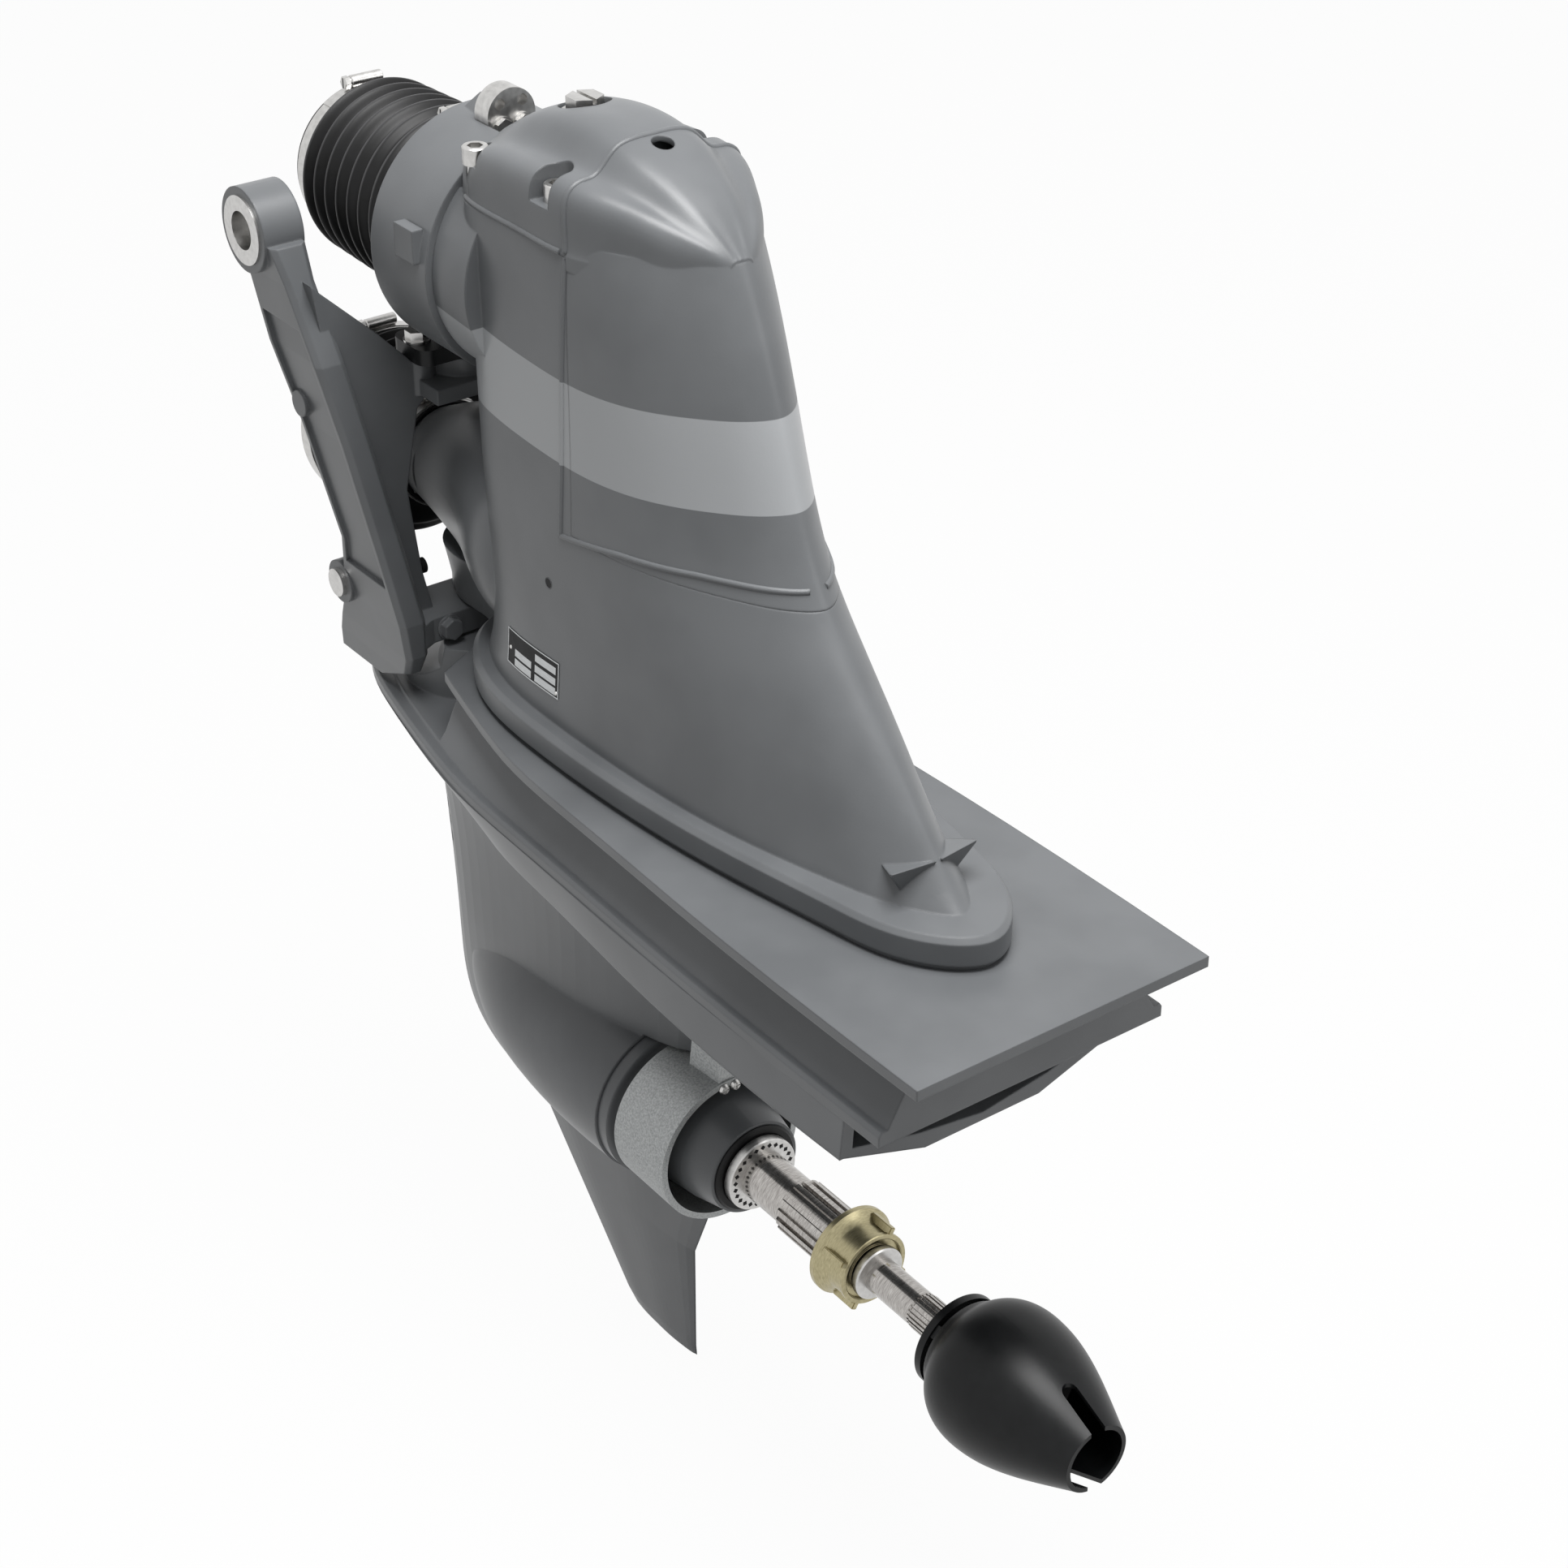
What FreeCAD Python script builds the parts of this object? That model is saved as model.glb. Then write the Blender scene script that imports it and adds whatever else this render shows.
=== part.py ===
import FreeCAD, Part
import Sketcher
import math
import os
import re
from FreeCAD import Placement, Rotation, Vector

# Sterndrive for twin counter-rotating propellers.
# +X points forward to the transom, +Y to port and +Z up; lengths are in millimetres.
# The origin lies where the tilt axis crosses the centre plane, on the input shaft.

doc = FreeCAD.newDocument("sterndrive")
sheet = doc.addObject("Spreadsheet::Sheet", "sizes")
names = []
parts = {}


def size(name, value):
    """Write one driving dimension into the sheet."""
    row = len(names) + 1
    names.append(name)
    sheet.set(f"A{row}", name)
    sheet.set(f"B{row}", str(value))
    sheet.setAlias(f"B{row}", name)


def bound(expression):
    """Expression text in which every size name points at the sheet."""
    known = set(names)
    return re.sub(r"[a-z][a-z_0-9]*", lambda word: "sizes." + word[0] if word[0] in known else word[0],
                  str(expression))


def read(expression):
    return float(sheet.evalExpression(bound(expression)))


def tie(thing, prop, expression):
    thing.setExpression(prop, bound(expression))


def place(thing, x=0, y=0, z=0, turn=None):
    """Bind the position of a piece, with an optional fixed (axis, angle) turn."""
    if turn:
        thing.Placement = Placement(Vector(), Rotation(Vector(*turn[0]), turn[1]))
    tie(thing, "Placement.Base.x", x)
    tie(thing, "Placement.Base.y", y)
    tie(thing, "Placement.Base.z", z)
    return thing


def keep(node, thing):
    """Name a finished piece; its file gets the same name."""
    thing.Label = node
    parts[node] = thing
    return thing


def outline_sketch(body, name, plane, outline):
    """Closed straight-sided sketch whose corners are bound to (across, up) expressions."""
    sketch = body.newObject("Sketcher::SketchObject", name)
    support = [item for item in body.Origin.OriginFeatures if item.Role == plane][0]
    sketch.AttachmentSupport = (support, [""])
    sketch.MapMode = "FlatFace"
    corners = [Vector(read(across), read(up), 0) for across, up in outline]
    count = len(corners)
    sketch.addGeometry([Part.LineSegment(corners[i], corners[(i + 1) % count]) for i in range(count)], False)
    rules = [Sketcher.Constraint("Coincident", i, 2, (i + 1) % count, 1) for i in range(count)]
    for i, corner in enumerate(corners):
        rules.append(Sketcher.Constraint("DistanceX", -1, 1, i, 1, corner.x))
        rules.append(Sketcher.Constraint("DistanceY", -1, 1, i, 1, corner.y))
    sketch.addConstraint(rules)
    for i, (across, up) in enumerate(outline):
        tie(sketch, f"Constraints[{count + 2 * i}]", across)
        tie(sketch, f"Constraints[{count + 2 * i + 1}]", up)
    return sketch


def turned(name, outline):
    """Body of revolution about its own X axis from (along, radius) corners."""
    body = doc.addObject("PartDesign::Body", name)
    sketch = outline_sketch(body, name + "_profile", "XZ_Plane", outline)
    turn = body.newObject("PartDesign::Revolution", name + "_turn")
    turn.Profile = sketch
    turn.ReferenceAxis = (sketch, ["H_Axis"])
    turn.Angle = 360
    return body


def tube(name, front, rear, inner, outer, chamfer=0):
    """Ring about X between two stations, with chamfered outer edges."""
    if not chamfer:
        return turned(name, [(front, inner), (front, outer), (rear, outer), (rear, inner)])
    return turned(name, [(front, inner), (front, f"{outer} - {chamfer}"), (f"{front} - {chamfer}", outer),
                         (f"{rear} + {chamfer}", outer), (rear, f"{outer} - {chamfer}"), (rear, inner)])


def padded(name, plane, outline, length, both=False):
    """Body padded from a straight-sided outline."""
    body = doc.addObject("PartDesign::Body", name)
    sketch = outline_sketch(body, name + "_profile", plane, outline)
    pad = body.newObject("PartDesign::Pad", name + "_pad")
    pad.Profile = sketch
    tie(pad, "Length", length)
    pad.Midplane = both
    return body


def grooves(body, outline, start, length, count):
    """Lengthwise grooves round the X axis, cut rearwards from a station."""
    name = body.Name + "_groove"
    sketch = outline_sketch(body, name + "_profile", "YZ_Plane", outline)
    tie(sketch, "AttachmentOffset.Base.z", start)
    cut = body.newObject("PartDesign::Pocket", name)
    cut.Profile = sketch
    tie(cut, "Length", length)
    ring = body.newObject("PartDesign::PolarPattern", name + "_ring")
    ring.Originals = [cut]
    axis = [item for item in body.Origin.OriginFeatures if item.Role == "X_Axis"][0]
    ring.Axis = (axis, [""])
    ring.Angle = 360
    tie(ring, "Occurrences", count)
    body.Tip = ring
    return body


def cylinder(name, radius, height, x=0, y=0, z=0, turn=None):
    solid = doc.addObject("Part::Cylinder", name)
    tie(solid, "Radius", radius)
    tie(solid, "Height", height)
    return place(solid, x, y, z, turn)


def cut(name, base, tool):
    result = doc.addObject("Part::Cut", name)
    result.Base = base
    result.Tool = tool
    return result


def fuse(name, pieces):
    result = doc.addObject("Part::MultiFuse", name)
    result.Shapes = pieces
    return result


def cast(name, shape):
    """Piece whose form is lofted or placed by this script from the sheet."""
    piece = doc.addObject("Part::Feature", name)
    piece.Shape = shape
    piece.Placement = shape.Placement
    return piece


def copies(name, source, places):
    """Separate solids of one fastener, each at its own placement."""
    doc.recompute()
    solids = []
    for where in places:
        solid = source.Shape.copy()
        solid.Placement = where.multiply(solid.Placement)
        solids.append(solid)
    return cast(name, Part.makeCompound(solids))


def at(x, y, z, axis=(0, 0, 1), angle=0):
    return Placement(Vector(x, y, z), Rotation(Vector(*axis), angle))


def block(x, y, z):
    """Box between (low, high) pairs."""
    return Part.makeBox(x[1] - x[0], y[1] - y[0], z[1] - z[0], Vector(x[0], y[0], z[0]))


def rod(start, end, radius):
    start, end = Vector(*start), Vector(*end)
    return Part.makeCylinder(radius, (end - start).Length, start, end - start)


def polygon(points):
    return Part.makePolygon([Vector(*point) for point in points] + [Vector(*points[0])])


def slab(points, along):
    """Flat outline pushed along a vector."""
    return Part.Face(polygon(points)).extrude(Vector(*along))


def ring_curve(points):
    """Closed smooth wire through points."""
    curve = Part.BSplineCurve()
    curve.interpolate([Vector(*point) for point in points], PeriodicFlag=True)
    return Part.Wire(curve.toShape())


def mirrored(points):
    """Port half of an outline (along, half width), closed with its starboard half."""
    return points + [(x, -y) for x, y in reversed(points) if abs(y) > 1e-6]


def loft(wires, ruled=False):
    return Part.makeLoft(wires, True, ruled)


def carve(shape, tools):
    """Take the tools out one after another."""
    for tool in tools:
        shape = shape.cut(tool)
    return shape


def join(shape, pieces):
    for piece in pieces:
        shape = shape.fuse(piece)
    return shape


# Main axes
size("steer_x", -50)
size("shaft_x", -225)
size("prop_drop", 640)
size("running_gap", 0.05)

# Suspension fork
size("eye_radius", 31)
size("eye_outer", 142.4)
size("eye_width", 31.4)
size("tilt_bore", 14)
size("tilt_bush_radius", 22)
size("web_thickness", 16)
size("upper_boss_top", -104)
size("upper_boss_radius", 30)
size("lower_boss_top", -305)
size("lower_boss_height", 20)
size("pivot_radius", 11)
size("foot_pin_radius", 13.5)
size("bush_wall", 3)
size("trim_pin_radius", 11)
size("trim_pin_z", -293)
size("nose_radius", 59.5)
size("nose_level", -328)

# Leg casing
size("seam_z", 60)
size("flange_top", -292)
size("base_z", -317)
size("flange_half", 90)
size("cowl_x", -303)
size("cowl_foot", -137)
size("cowl_wall", 4)
size("input_split", -158)
size("input_radius", 89)
size("spigot_radius", 68)
size("spigot_front", -57)
size("chamber_radius", 52)
size("chamber_floor", -54)
size("bore_radius", 21)
size("exhaust_z", -205)
size("exhaust_spigot", 38)
size("exhaust_wall", 5)
size("exhaust_end", -4)

# Bellows
size("bellows_wall", 3)
size("bellows_front", 78)
size("bellows_front_radius", 56.5)
size("band_width", 12)
size("band_thickness", 1.6)

# Lower gear housing
size("plate_tail", -734)
size("plate_half", 118.4)
size("plate_thickness", 8)
size("rim_tail", -697)
size("rim_half", 117)
size("rim_top", -373)
size("duct_top", -384)
size("duct_tail", -659)
size("duct_bottom", -417)
size("torpedo_radius", 65)
size("torpedo_rear", -292)
size("torpedo_bore", 54)
size("carrier_rear", -405.4)
size("carrier_nose", 38.5)
size("anode_rear", -375)
size("anode_radius", 62)
size("anode_wall", 5)

# Propeller shafts
size("outer_shaft_radius", 19.5)
size("outer_spline_radius", 22.7)
size("outer_shaft_bore", 14.6)
size("outer_spline_front", -461)
size("outer_spline_count", 17)
size("nut_front", -519)
size("nut_rear", -549.4)
size("nut_flange_radius", 35.1)
size("nut_radius", 27.6)
size("inner_shaft_radius", 13.4)
size("inner_spline_radius", 14)
size("inner_spline_front", -605)
size("inner_spline_count", 24)
size("inner_shaft_rear", -690)
size("cone_front", -640)
size("cone_rear", -786)
size("cone_wall", 3.5)
size("cross_front", 20)
size("yoke_radius", 30)
size("yoke_reach", 27)
size("trunnion_radius", 7)
size("pilot_radius", 10)

# Gears
size("gear_module", 4)
size("input_teeth", 15)
size("upper_teeth", 20)
size("lower_pinion_teeth", 13)
size("prop_gear_teeth", 20)
size("face_width", 15)
size("shaft_radius", 15)

doc.recompute()

steer = read("steer_x")
shaft = read("shaft_x")
axis_z = -read("prop_drop")
gap = read("running_gap")

# Outer forms of the leg

# Fractions of chord and of half width along the flank: at the gearcase, at the foot and round the flange
upper_flank = [(0, 0), (0.012, 0.62), (0.06, 0.93), (0.16, 1), (0.35, 1), (0.58, 0.96), (0.75, 0.78),
               (0.89, 0.48), (0.975, 0.21), (1, 0)]
foot_flank = [(0, 0), (0.02, 0.42), (0.08, 0.74), (0.17, 0.94), (0.29, 1), (0.48, 0.97), (0.68, 0.82),
              (0.85, 0.55), (0.97, 0.22), (1, 0)]
flange_flank = [(0, 0), (0.02, 0.42), (0.08, 0.74), (0.17, 0.94), (0.29, 1), (0.48, 0.97), (0.68, 0.83),
                (0.83, 0.66), (0.95, 0.42), (1, 0)]


def flank_ring(level, front, rear, half, blend, inset=0, low_flank=foot_flank):
    """Horizontal section of the leg; blend runs from the gearcase (0) to the low outline (1)."""
    port = []
    for upper, low in zip(upper_flank, low_flank):
        chord = upper[0] + (low[0] - upper[0]) * blend
        width = upper[1] + (low[1] - upper[1]) * blend
        port.append((front - inset + chord * (rear - front + 2 * inset), width * (half - inset)))
    return ring_curve([(x, y, level) for x, y in mirrored(port)])


def leg_form(inset=0):
    levels = [(-300, -116, -644, 78, 1), (-262, -134, -601, 76, 0.9), (-214, -146, -558, 75, 0.7),
              (-137, -155, -488, 73.5, 0.35), (-20, -160, -439, 72, 0.1), (62, -161, -404, 71, 0),
              (70, -161, -400, 70.5, 0)]
    return loft([flank_ring(*level, inset) for level in levels])


def crown_ring(station, half, lobe, crest, inset=0):
    """Cross section of the gearcase top: a broad central ridge between two lower shoulders."""
    floor = 50
    half -= inset
    step = crest - lobe
    rise = [(half, 60), (half * 0.985, lobe - 16), (half * 0.92, lobe - 5), (half * 0.8, lobe - 1),
            (half * 0.67, lobe), (half * 0.54, lobe + step * 0.36), (half * 0.4, lobe + step * 0.82),
            (half * 0.25, crest - 0.5), (0, crest)]
    rise = [(y, z - inset if z > 60 else z) for y, z in rise]
    top = Part.BSplineCurve()
    top.interpolate([Vector(station, y, z) for y, z in rise]
                    + [Vector(station, -y, z) for y, z in reversed(rise[:-1])])
    corners = [Vector(station, -half, 60), Vector(station, -half, floor),
               Vector(station, half, floor), Vector(station, half, 60)]
    sides = [Part.LineSegment(corners[i], corners[i + 1]).toShape() for i in range(3)]
    return Part.Wire([top.toShape()] + sides)


def crown_form(inset=0):
    stations = [(-150, 52, 80, 86), (-168, 62, 90, 100), (-186, 68.6, 98, 110), (-205, 70.7, 103, 120),
                (-228, 71, 105.5, 126), (-255, 71, 107, 130), (-302, 69.8, 107.5, 126.5), (-335, 58, 102,
                                                                                           116),
                (-360, 45, 94, 104), (-380, 30.5, 85, 90), (-392, 19, 77, 79), (-399, 9.5, 71, 72)]
    return loft([crown_ring(*station, inset) for station in stations])


seam = read("seam_z")
cowl_x = read("cowl_x")
cowl_foot = read("cowl_foot")
whole = leg_form()
crown = crown_form()
above = block((-800, 100), (-200, 200), (seam, 300))
behind = block((-800, cowl_x), (-200, 200), (cowl_foot, 300))

# Leg casing: flanks, base flange, exhaust bulge and lower steering lug
base = read("base_z")
flange_half = read("flange_half")
flange = loft([flank_ring(z, -108 - inset, -663 + inset, flange_half - inset, 1, 0, flange_flank)
               for z, inset in ((base + 5, 0), (read("flange_top") - 4, 0), (read("flange_top"), 4))], True)
neck = loft([flank_ring(z, -112, -659, flange_half - 4, 1, 0, flange_flank) for z in (base, base + 6)], True)

exhaust_z = read("exhaust_z")
spigot = read("exhaust_spigot")


def oval(station, width, height, middle):
    """Upright elliptical wire across the drive."""
    points = []
    for step in range(16):
        angle = 2 * math.pi * step / 16
        points.append((station, width * math.cos(angle), middle + height * math.sin(angle)))
    return ring_curve(points)


def bulge_form(inset=0):
    stations = [(-185, 64, 82, -212), (-110, 50, 70, -208), (-62, 38, 58, -205), (-34, 37, 46, exhaust_z),
                (-13, spigot - 1.5, spigot - 1.5, exhaust_z)]
    return loft([oval(x, width - inset, height - inset, z) for x, width, height, z in stations])


wall = read("exhaust_wall")
bulge = bulge_form()
exhaust_spigot = rod((-30, 0, exhaust_z), (read("exhaust_end"), 0, exhaust_z), spigot)
foot_lug = loft([ring_curve([(x, y, z) for x, y in mirrored([(-165, 0), (-150, width), (-100, width * 0.8),
                                                             (steer - 4, width * 0.72), (steer + tip, 0)])])
                 for z, width, tip in ((-302.5, 28, 17), (-284, 32, 22), (-258, 40, 24))])
lug_column = rod((steer, 0, -302.5), (steer, 0, -262), 18.5)
front_boss = rod((-200, 0, 0), (read("input_split"), 0, 0), read("input_radius") - 5)
lug_pyramid = loft([polygon([(-566, 19, -276), (-607, 2, -265), (-594, 15, -296)]),
                    polygon([(-600.5, 35, -265.5), (-603, 34, -265), (-602, 34.5, -267)])], True)

outer = join(whole.cut(behind).cut(above), [flange, neck, bulge, exhaust_spigot, foot_lug, lug_column,
                                            front_boss.cut(above), lug_pyramid,
                                            lug_pyramid.mirror(Vector(), Vector(0, 1, 0))])
chamber = rod((shaft, 0, read("chamber_floor")), (shaft, 0, 200), read("chamber_radius"))
input_bore = rod((-100, 0, 0), (-190, 0, 0), 46)
shaft_bore = rod((shaft, 0, base - 10), (shaft, 0, 0), read("bore_radius"))
lower_seat = rod((shaft, 0, read("chamber_floor - 14")), (shaft, 0, 0), 32)
exhaust_run = loft([Part.makePolygon(oval(x, width, height, z).discretize(Number=33)) for x, width,
                    height, z in
                    ((-196, 24, 30, -214), (-150, 34, 52, -210), (-62, 31, 48, -205),
                     (-18, spigot - wall - 1, spigot - wall - 1, exhaust_z))], True)
exhaust_mouth = rod((-24, 0, exhaust_z), (10, 0, exhaust_z), spigot - wall)
exhaust_drop = block((-196, -136), (-34, 34), (base - 5, -215))
foot_socket = rod((steer, 0, -310), (steer, 0, -268), read("foot_pin_radius"))
housing_room = rod((-50, 0, 0), (read("input_split"), 0, 0), 96)
leg_casing = carve(outer, [housing_room, chamber, input_bore, shaft_bore, lower_seat, exhaust_run,
                           exhaust_mouth,
                           exhaust_drop, foot_socket])
keep("leg_casing", cast("leg_casing", leg_casing))

# Top cover, its screws and the filler plug
screw_places = [(-186, 61.5), (-276, 56)]
screw_seat = 86
cover = crown.common(above).cut(behind).cut(block((read("input_split"), 0), (-100, 100), (0, 200)))
pockets = []
screws = []
for x, y in screw_places:
    for side in (1, -1):
        pockets.append(rod((x, side * y, screw_seat), (x, side * y, 140), 11))
        pockets.append(block((x - 11, x + 11), sorted((side * y, side * 90)), (screw_seat, 140)))
        pockets.append(rod((x, side * y, seam - 1), (x, side * y, screw_seat + 1), 6.2))
        screws.append(at(x, side * y, screw_seat))
plug_seat = 118
plug_pocket = rod((shaft, 0, plug_seat), (shaft, 0, 150), 18)
plug_hole = rod((shaft, 0, 80), (shaft, 0, 120), 10.2)
cover_room = rod((shaft, 0, seam - 1), (shaft, 0, 78), read("chamber_radius"))
keep("top_cover", cast("top_cover", carve(cover, pockets + [plug_pocket, plug_hole, cover_room])))


def hexagon(across, start, height, x=0, y=0):
    """Hexagonal prism standing at a height."""
    points = [(x + across / math.sqrt(3) * math.cos(math.pi * i / 3),
               y + across / math.sqrt(3) * math.sin(math.pi * i / 3), start) for i in range(6)]
    return slab(points, (0, 0, height))


def socket_screw(diameter, length, depth):
    """Cap screw whose head stands on its seat at z = 0."""
    head = Part.makeCylinder(diameter * 0.75, diameter, Vector(0, 0, 0))
    head = head.makeChamfer(0.8, [edge for edge in head.Edges if edge.BoundBox.ZMin > diameter - 0.1])
    shank = Part.makeCylinder(diameter / 2, length, Vector(0, 0, -length))
    return head.fuse(shank).cut(hexagon(diameter * 0.8, diameter - depth, depth + 1))


def hex_bolt(diameter, length):
    """Hexagon bolt with a washer face, its head standing on z = 0."""
    washer = Part.makeCylinder(diameter, 1.6)
    head = hexagon(diameter * 1.5, 1.6, diameter * 0.65)
    shank = Part.makeCylinder(diameter / 2, length, Vector(0, 0, -length))
    return washer.fuse(head).fuse(shank)


def placed(shape, where):
    copy = shape.copy()
    copy.Placement = where.multiply(copy.Placement)
    return copy


def group(node, shape, places):
    """Identical separate solids kept as one piece list."""
    keep(node, cast(node, Part.makeCompound([placed(shape, where) for where in places])))


group("cover_screws", socket_screw(12, 25.5, 7), screws)
plug_body = join(Part.makeCylinder(16, 2, Vector(shaft, 0, plug_seat)),
                 [hexagon(22, plug_seat + 2, 10, shaft), Part.makeCylinder(10, 20, Vector(shaft, 0,
                                                                                          plug_seat - 20))])
plug_slot = block((shaft - 13, shaft + 13), (-1.5, 1.5), (plug_seat + 9, plug_seat + 16))
keep("filler_plug", cast("filler_plug", plug_body.cut(plug_slot)))

# Rear cowl
thin = read("cowl_wall")
shell = whole.fuse(crown).common(behind)
hollow = leg_form(thin).fuse(crown_form(thin))
rear_cowl = carve(shell.cut(hollow), [rod((-314, 0, 100), (-314, 0, 150), 7.5)])
keep("rear_cowl", cast("rear_cowl", rear_cowl))

# Lower gear housing
plate_edge = [(0, 0), (0.015, 0.3), (0.06, 0.525), (0.147, 0.7), (0.237, 0.82), (0.312, 0.9), (0.46, 0.95),
              (0.65, 0.99), (1, 1)]
strut_edge = [(0, 0), (0.01, 0.24), (0.06, 0.55), (0.18, 0.83), (0.4, 1), (0.66, 0.98), (0.86, 0.62),
              (0.985, 0.14), (1, 0)]


def plate_ring(level, front, tail, half, power=1.0):
    """Plan outline with a smooth nose and a square tail."""
    port = [(front + along * (tail - front), width ** power * half) for along, width in plate_edge]
    line = [Vector(x, -y, level) for x, y in reversed(port[1:])] + [Vector(x, y, level) for x, y in port]
    edge = Part.BSplineCurve()
    edge.interpolate(line)
    return Part.Wire([edge.toShape(), Part.LineSegment(line[-1], line[0]).toShape()])


def strut_ring(level, front, rear, half):
    """Foil section as a closed polygon that follows the smooth outline."""
    port = [(front + along * (rear - front), width * half) for along, width in strut_edge]
    outline = ring_curve([(x, y, level) for x, y in mirrored(port)])
    return Part.makePolygon(outline.discretize(Number=41))


plate_tail = read("plate_tail")
plate_half = read("plate_half")
rim_tail = read("rim_tail")
rim_half = read("rim_half")
rim_top = read("rim_top")
duct_top = read("duct_top")
duct_tail = read("duct_tail")
duct_bottom = read("duct_bottom")
plate_low = base - read("plate_thickness")
plate = loft([plate_ring(base, -45, plate_tail, plate_half),
              plate_ring(plate_low, -45, plate_tail, plate_half)], True)
belly = loft([plate_ring(plate_low + 1, -47, plate_tail + 2, plate_half - 2),
              plate_ring(plate_low - 8, -60, plate_tail + 14, plate_half - 30)], True)
gutter = loft([plate_ring(plate_low - 2, -44, rim_tail, rim_half - 21),
               plate_ring(-346, -32, rim_tail, rim_half - 22),
               plate_ring(rim_top - 2, 38, rim_tail, rim_half - 6)], True)
rim = loft([plate_ring(rim_top, 56, rim_tail, rim_half - 2), plate_ring(rim_top - 3, 59, rim_tail, rim_half),
            plate_ring(duct_top, 59, rim_tail, rim_half)], True)
duct = loft([plate_ring(duct_top + 1, 56, duct_tail - 3, rim_half), plate_ring(duct_bottom, 12, duct_tail,
                                                                          rim_half + 0.7, 2.4)], True)
smile = loft([plate_ring(duct_bottom + 1, 13, duct_tail, rim_half + 0.7, 2.4),
              plate_ring(duct_bottom - 22, 4, duct_tail, 48, 1.2)], True)
strut = loft([strut_ring(-426, 10, -352, 50), strut_ring(-470, 6, -350, 40), strut_ring(-520, 2, -344, 35),
              strut_ring(-580, -3, -336, 34), strut_ring(-650, -4, -328, 30), strut_ring(-700, -12, -320,
                                                                                         22),
              strut_ring(-738, -58, -314, 10)])
skeg = loft([strut_ring(-690, -72, -350, 14), strut_ring(-730, -100, -344, 11),
             strut_ring(-774, -140, -326, 9), strut_ring(-872, -229, -325, 5),
             strut_ring(-881, -241, -326, 4)], True)
pod = Part.BSplineCurve()
pod.interpolate([Vector(x, 0, axis_z + radius) for x, radius in
                 ((-28, 0.01), (-40, 17), (-75, 38), (-120, 54), (-175, 63.5), (-240, 67), (-292, 66))])
pod_tail = Vector(read("torpedo_rear"), 0, axis_z)
pod_edges = [pod.toShape(), Part.LineSegment(pod.EndPoint, pod_tail).toShape(),
             Part.LineSegment(pod_tail, Vector(-28, 0, axis_z)).toShape(),
             Part.LineSegment(Vector(-28, 0, axis_z), pod.StartPoint).toShape()]
torpedo = Part.Face(Part.Wire(pod_edges)).revolve(Vector(0, 0, axis_z), Vector(1, 0, 0), 360)
heel = join(torpedo, [strut, skeg]).cut(block((-420, read("torpedo_rear")), (-80, 80), (-705, -576)))
lower_outer = join(plate, [belly, gutter, rim, duct, smile, heel])


def duct_ring(station, half, low, middle):
    top = duct_top - 4
    return polygon([(station, half, top), (station, half, low), (station, half * 0.5,
                                                                 (low + middle) / 2 - 3),
                    (station, 0, middle), (station, -half * 0.5, (low + middle) / 2 - 3),
                    (station, -half, low), (station, -half, top)])


duct_room = loft([duct_ring(-740, 112, -412, -434), duct_ring(-420, 96, -409, -428),
                  duct_ring(-110, 34, -405, -412)], True)
duct_room = duct_room.cut(rod((shaft, 0, -450), (shaft, 0, -380), 31))
exhaust_drop_low = block((-196, -136), (-34, 34), (duct_top - 8, base + 5))
lower_bore = rod((shaft, 0, -600), (shaft, 0, base + 5), read("bore_radius"))
pinion_seat = rod((shaft, 0, -640), (shaft, 0, -563), 26)
pinion_room = rod((shaft, 0, -640), (shaft, 0, -586), 31)
torpedo_bore = rod((-340, 0, axis_z), (shaft + 60, 0, axis_z), read("torpedo_bore"))
intakes = [block((-40, 30), (y - 1.6, y + 1.6), (z, z + 9)) for y in (-16, -10, 10, 16)
           for z in (-545, -530, -515)]
# Room for the fork feet when the leg is steered
nose_radius = read("nose_radius")
nose_level = read("nose_level")
sweep = [(steer, 0), (-109.5, 40), (-132, 81.6), (-132, 150), (110, 150), (110, 0)]
port_sweep = slab([(x, y, rim_top + 1.5) for x, y in sweep], (0, 0, 120))
starboard_sweep = port_sweep.mirror(Vector(), Vector(0, 1, 0))
nose_post = rod((steer, 0, rim_top), (steer, 0, nose_level), nose_radius)
fork_room = join(port_sweep, [starboard_sweep]).cut(nose_post)
bridge_room = rod((steer, 0, nose_level), (steer, 0, -250), 72)
lower = carve(lower_outer, [duct_room, exhaust_drop_low, lower_bore, pinion_seat, pinion_room, torpedo_bore,
                            fork_room, bridge_room] + intakes)
keep("lower_gear_housing", cast("lower_gear_housing", lower))

# Suspension fork
eye_outer = read("eye_outer")
eye_inner = read("eye_outer - eye_width")
arm_sections = [(-4, 26, -38, 141, 113), (-30, 15, -47, 136, 113), (-87, 8, -66, 128, 105),
                (-150, -3, -72, 114, 92), (-245, -16, -80, 96, 74), (-300, 4, -84, 86, 64),
                (-330, 22, -81, 81, 62), (-348, 32, -70, 77.5, 61.5), (-366, 37, -30, 74.5, 61.2)]


def arm_ring(level, front, aft, outer_y, inner_y, soft=4):
    """Section of the port arm with eased corners."""
    return polygon([(front - soft, outer_y, level), (aft + soft, outer_y, level), (aft, outer_y - soft,
                                                                                   level),
                    (aft, inner_y + soft, level), (aft + soft, inner_y, level), (front - soft, inner_y,
                                                                                 level),
                    (front, inner_y + soft, level), (front, outer_y - soft, level)])


def channel_ring(level, front, aft, outer_y):
    return polygon([(front - 8, outer_y - 3, level), (aft + 8, outer_y - 3, level), (aft + 8,
                                                                                     outer_y + 9, level),
                    (front - 8, outer_y + 9, level)])


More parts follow.
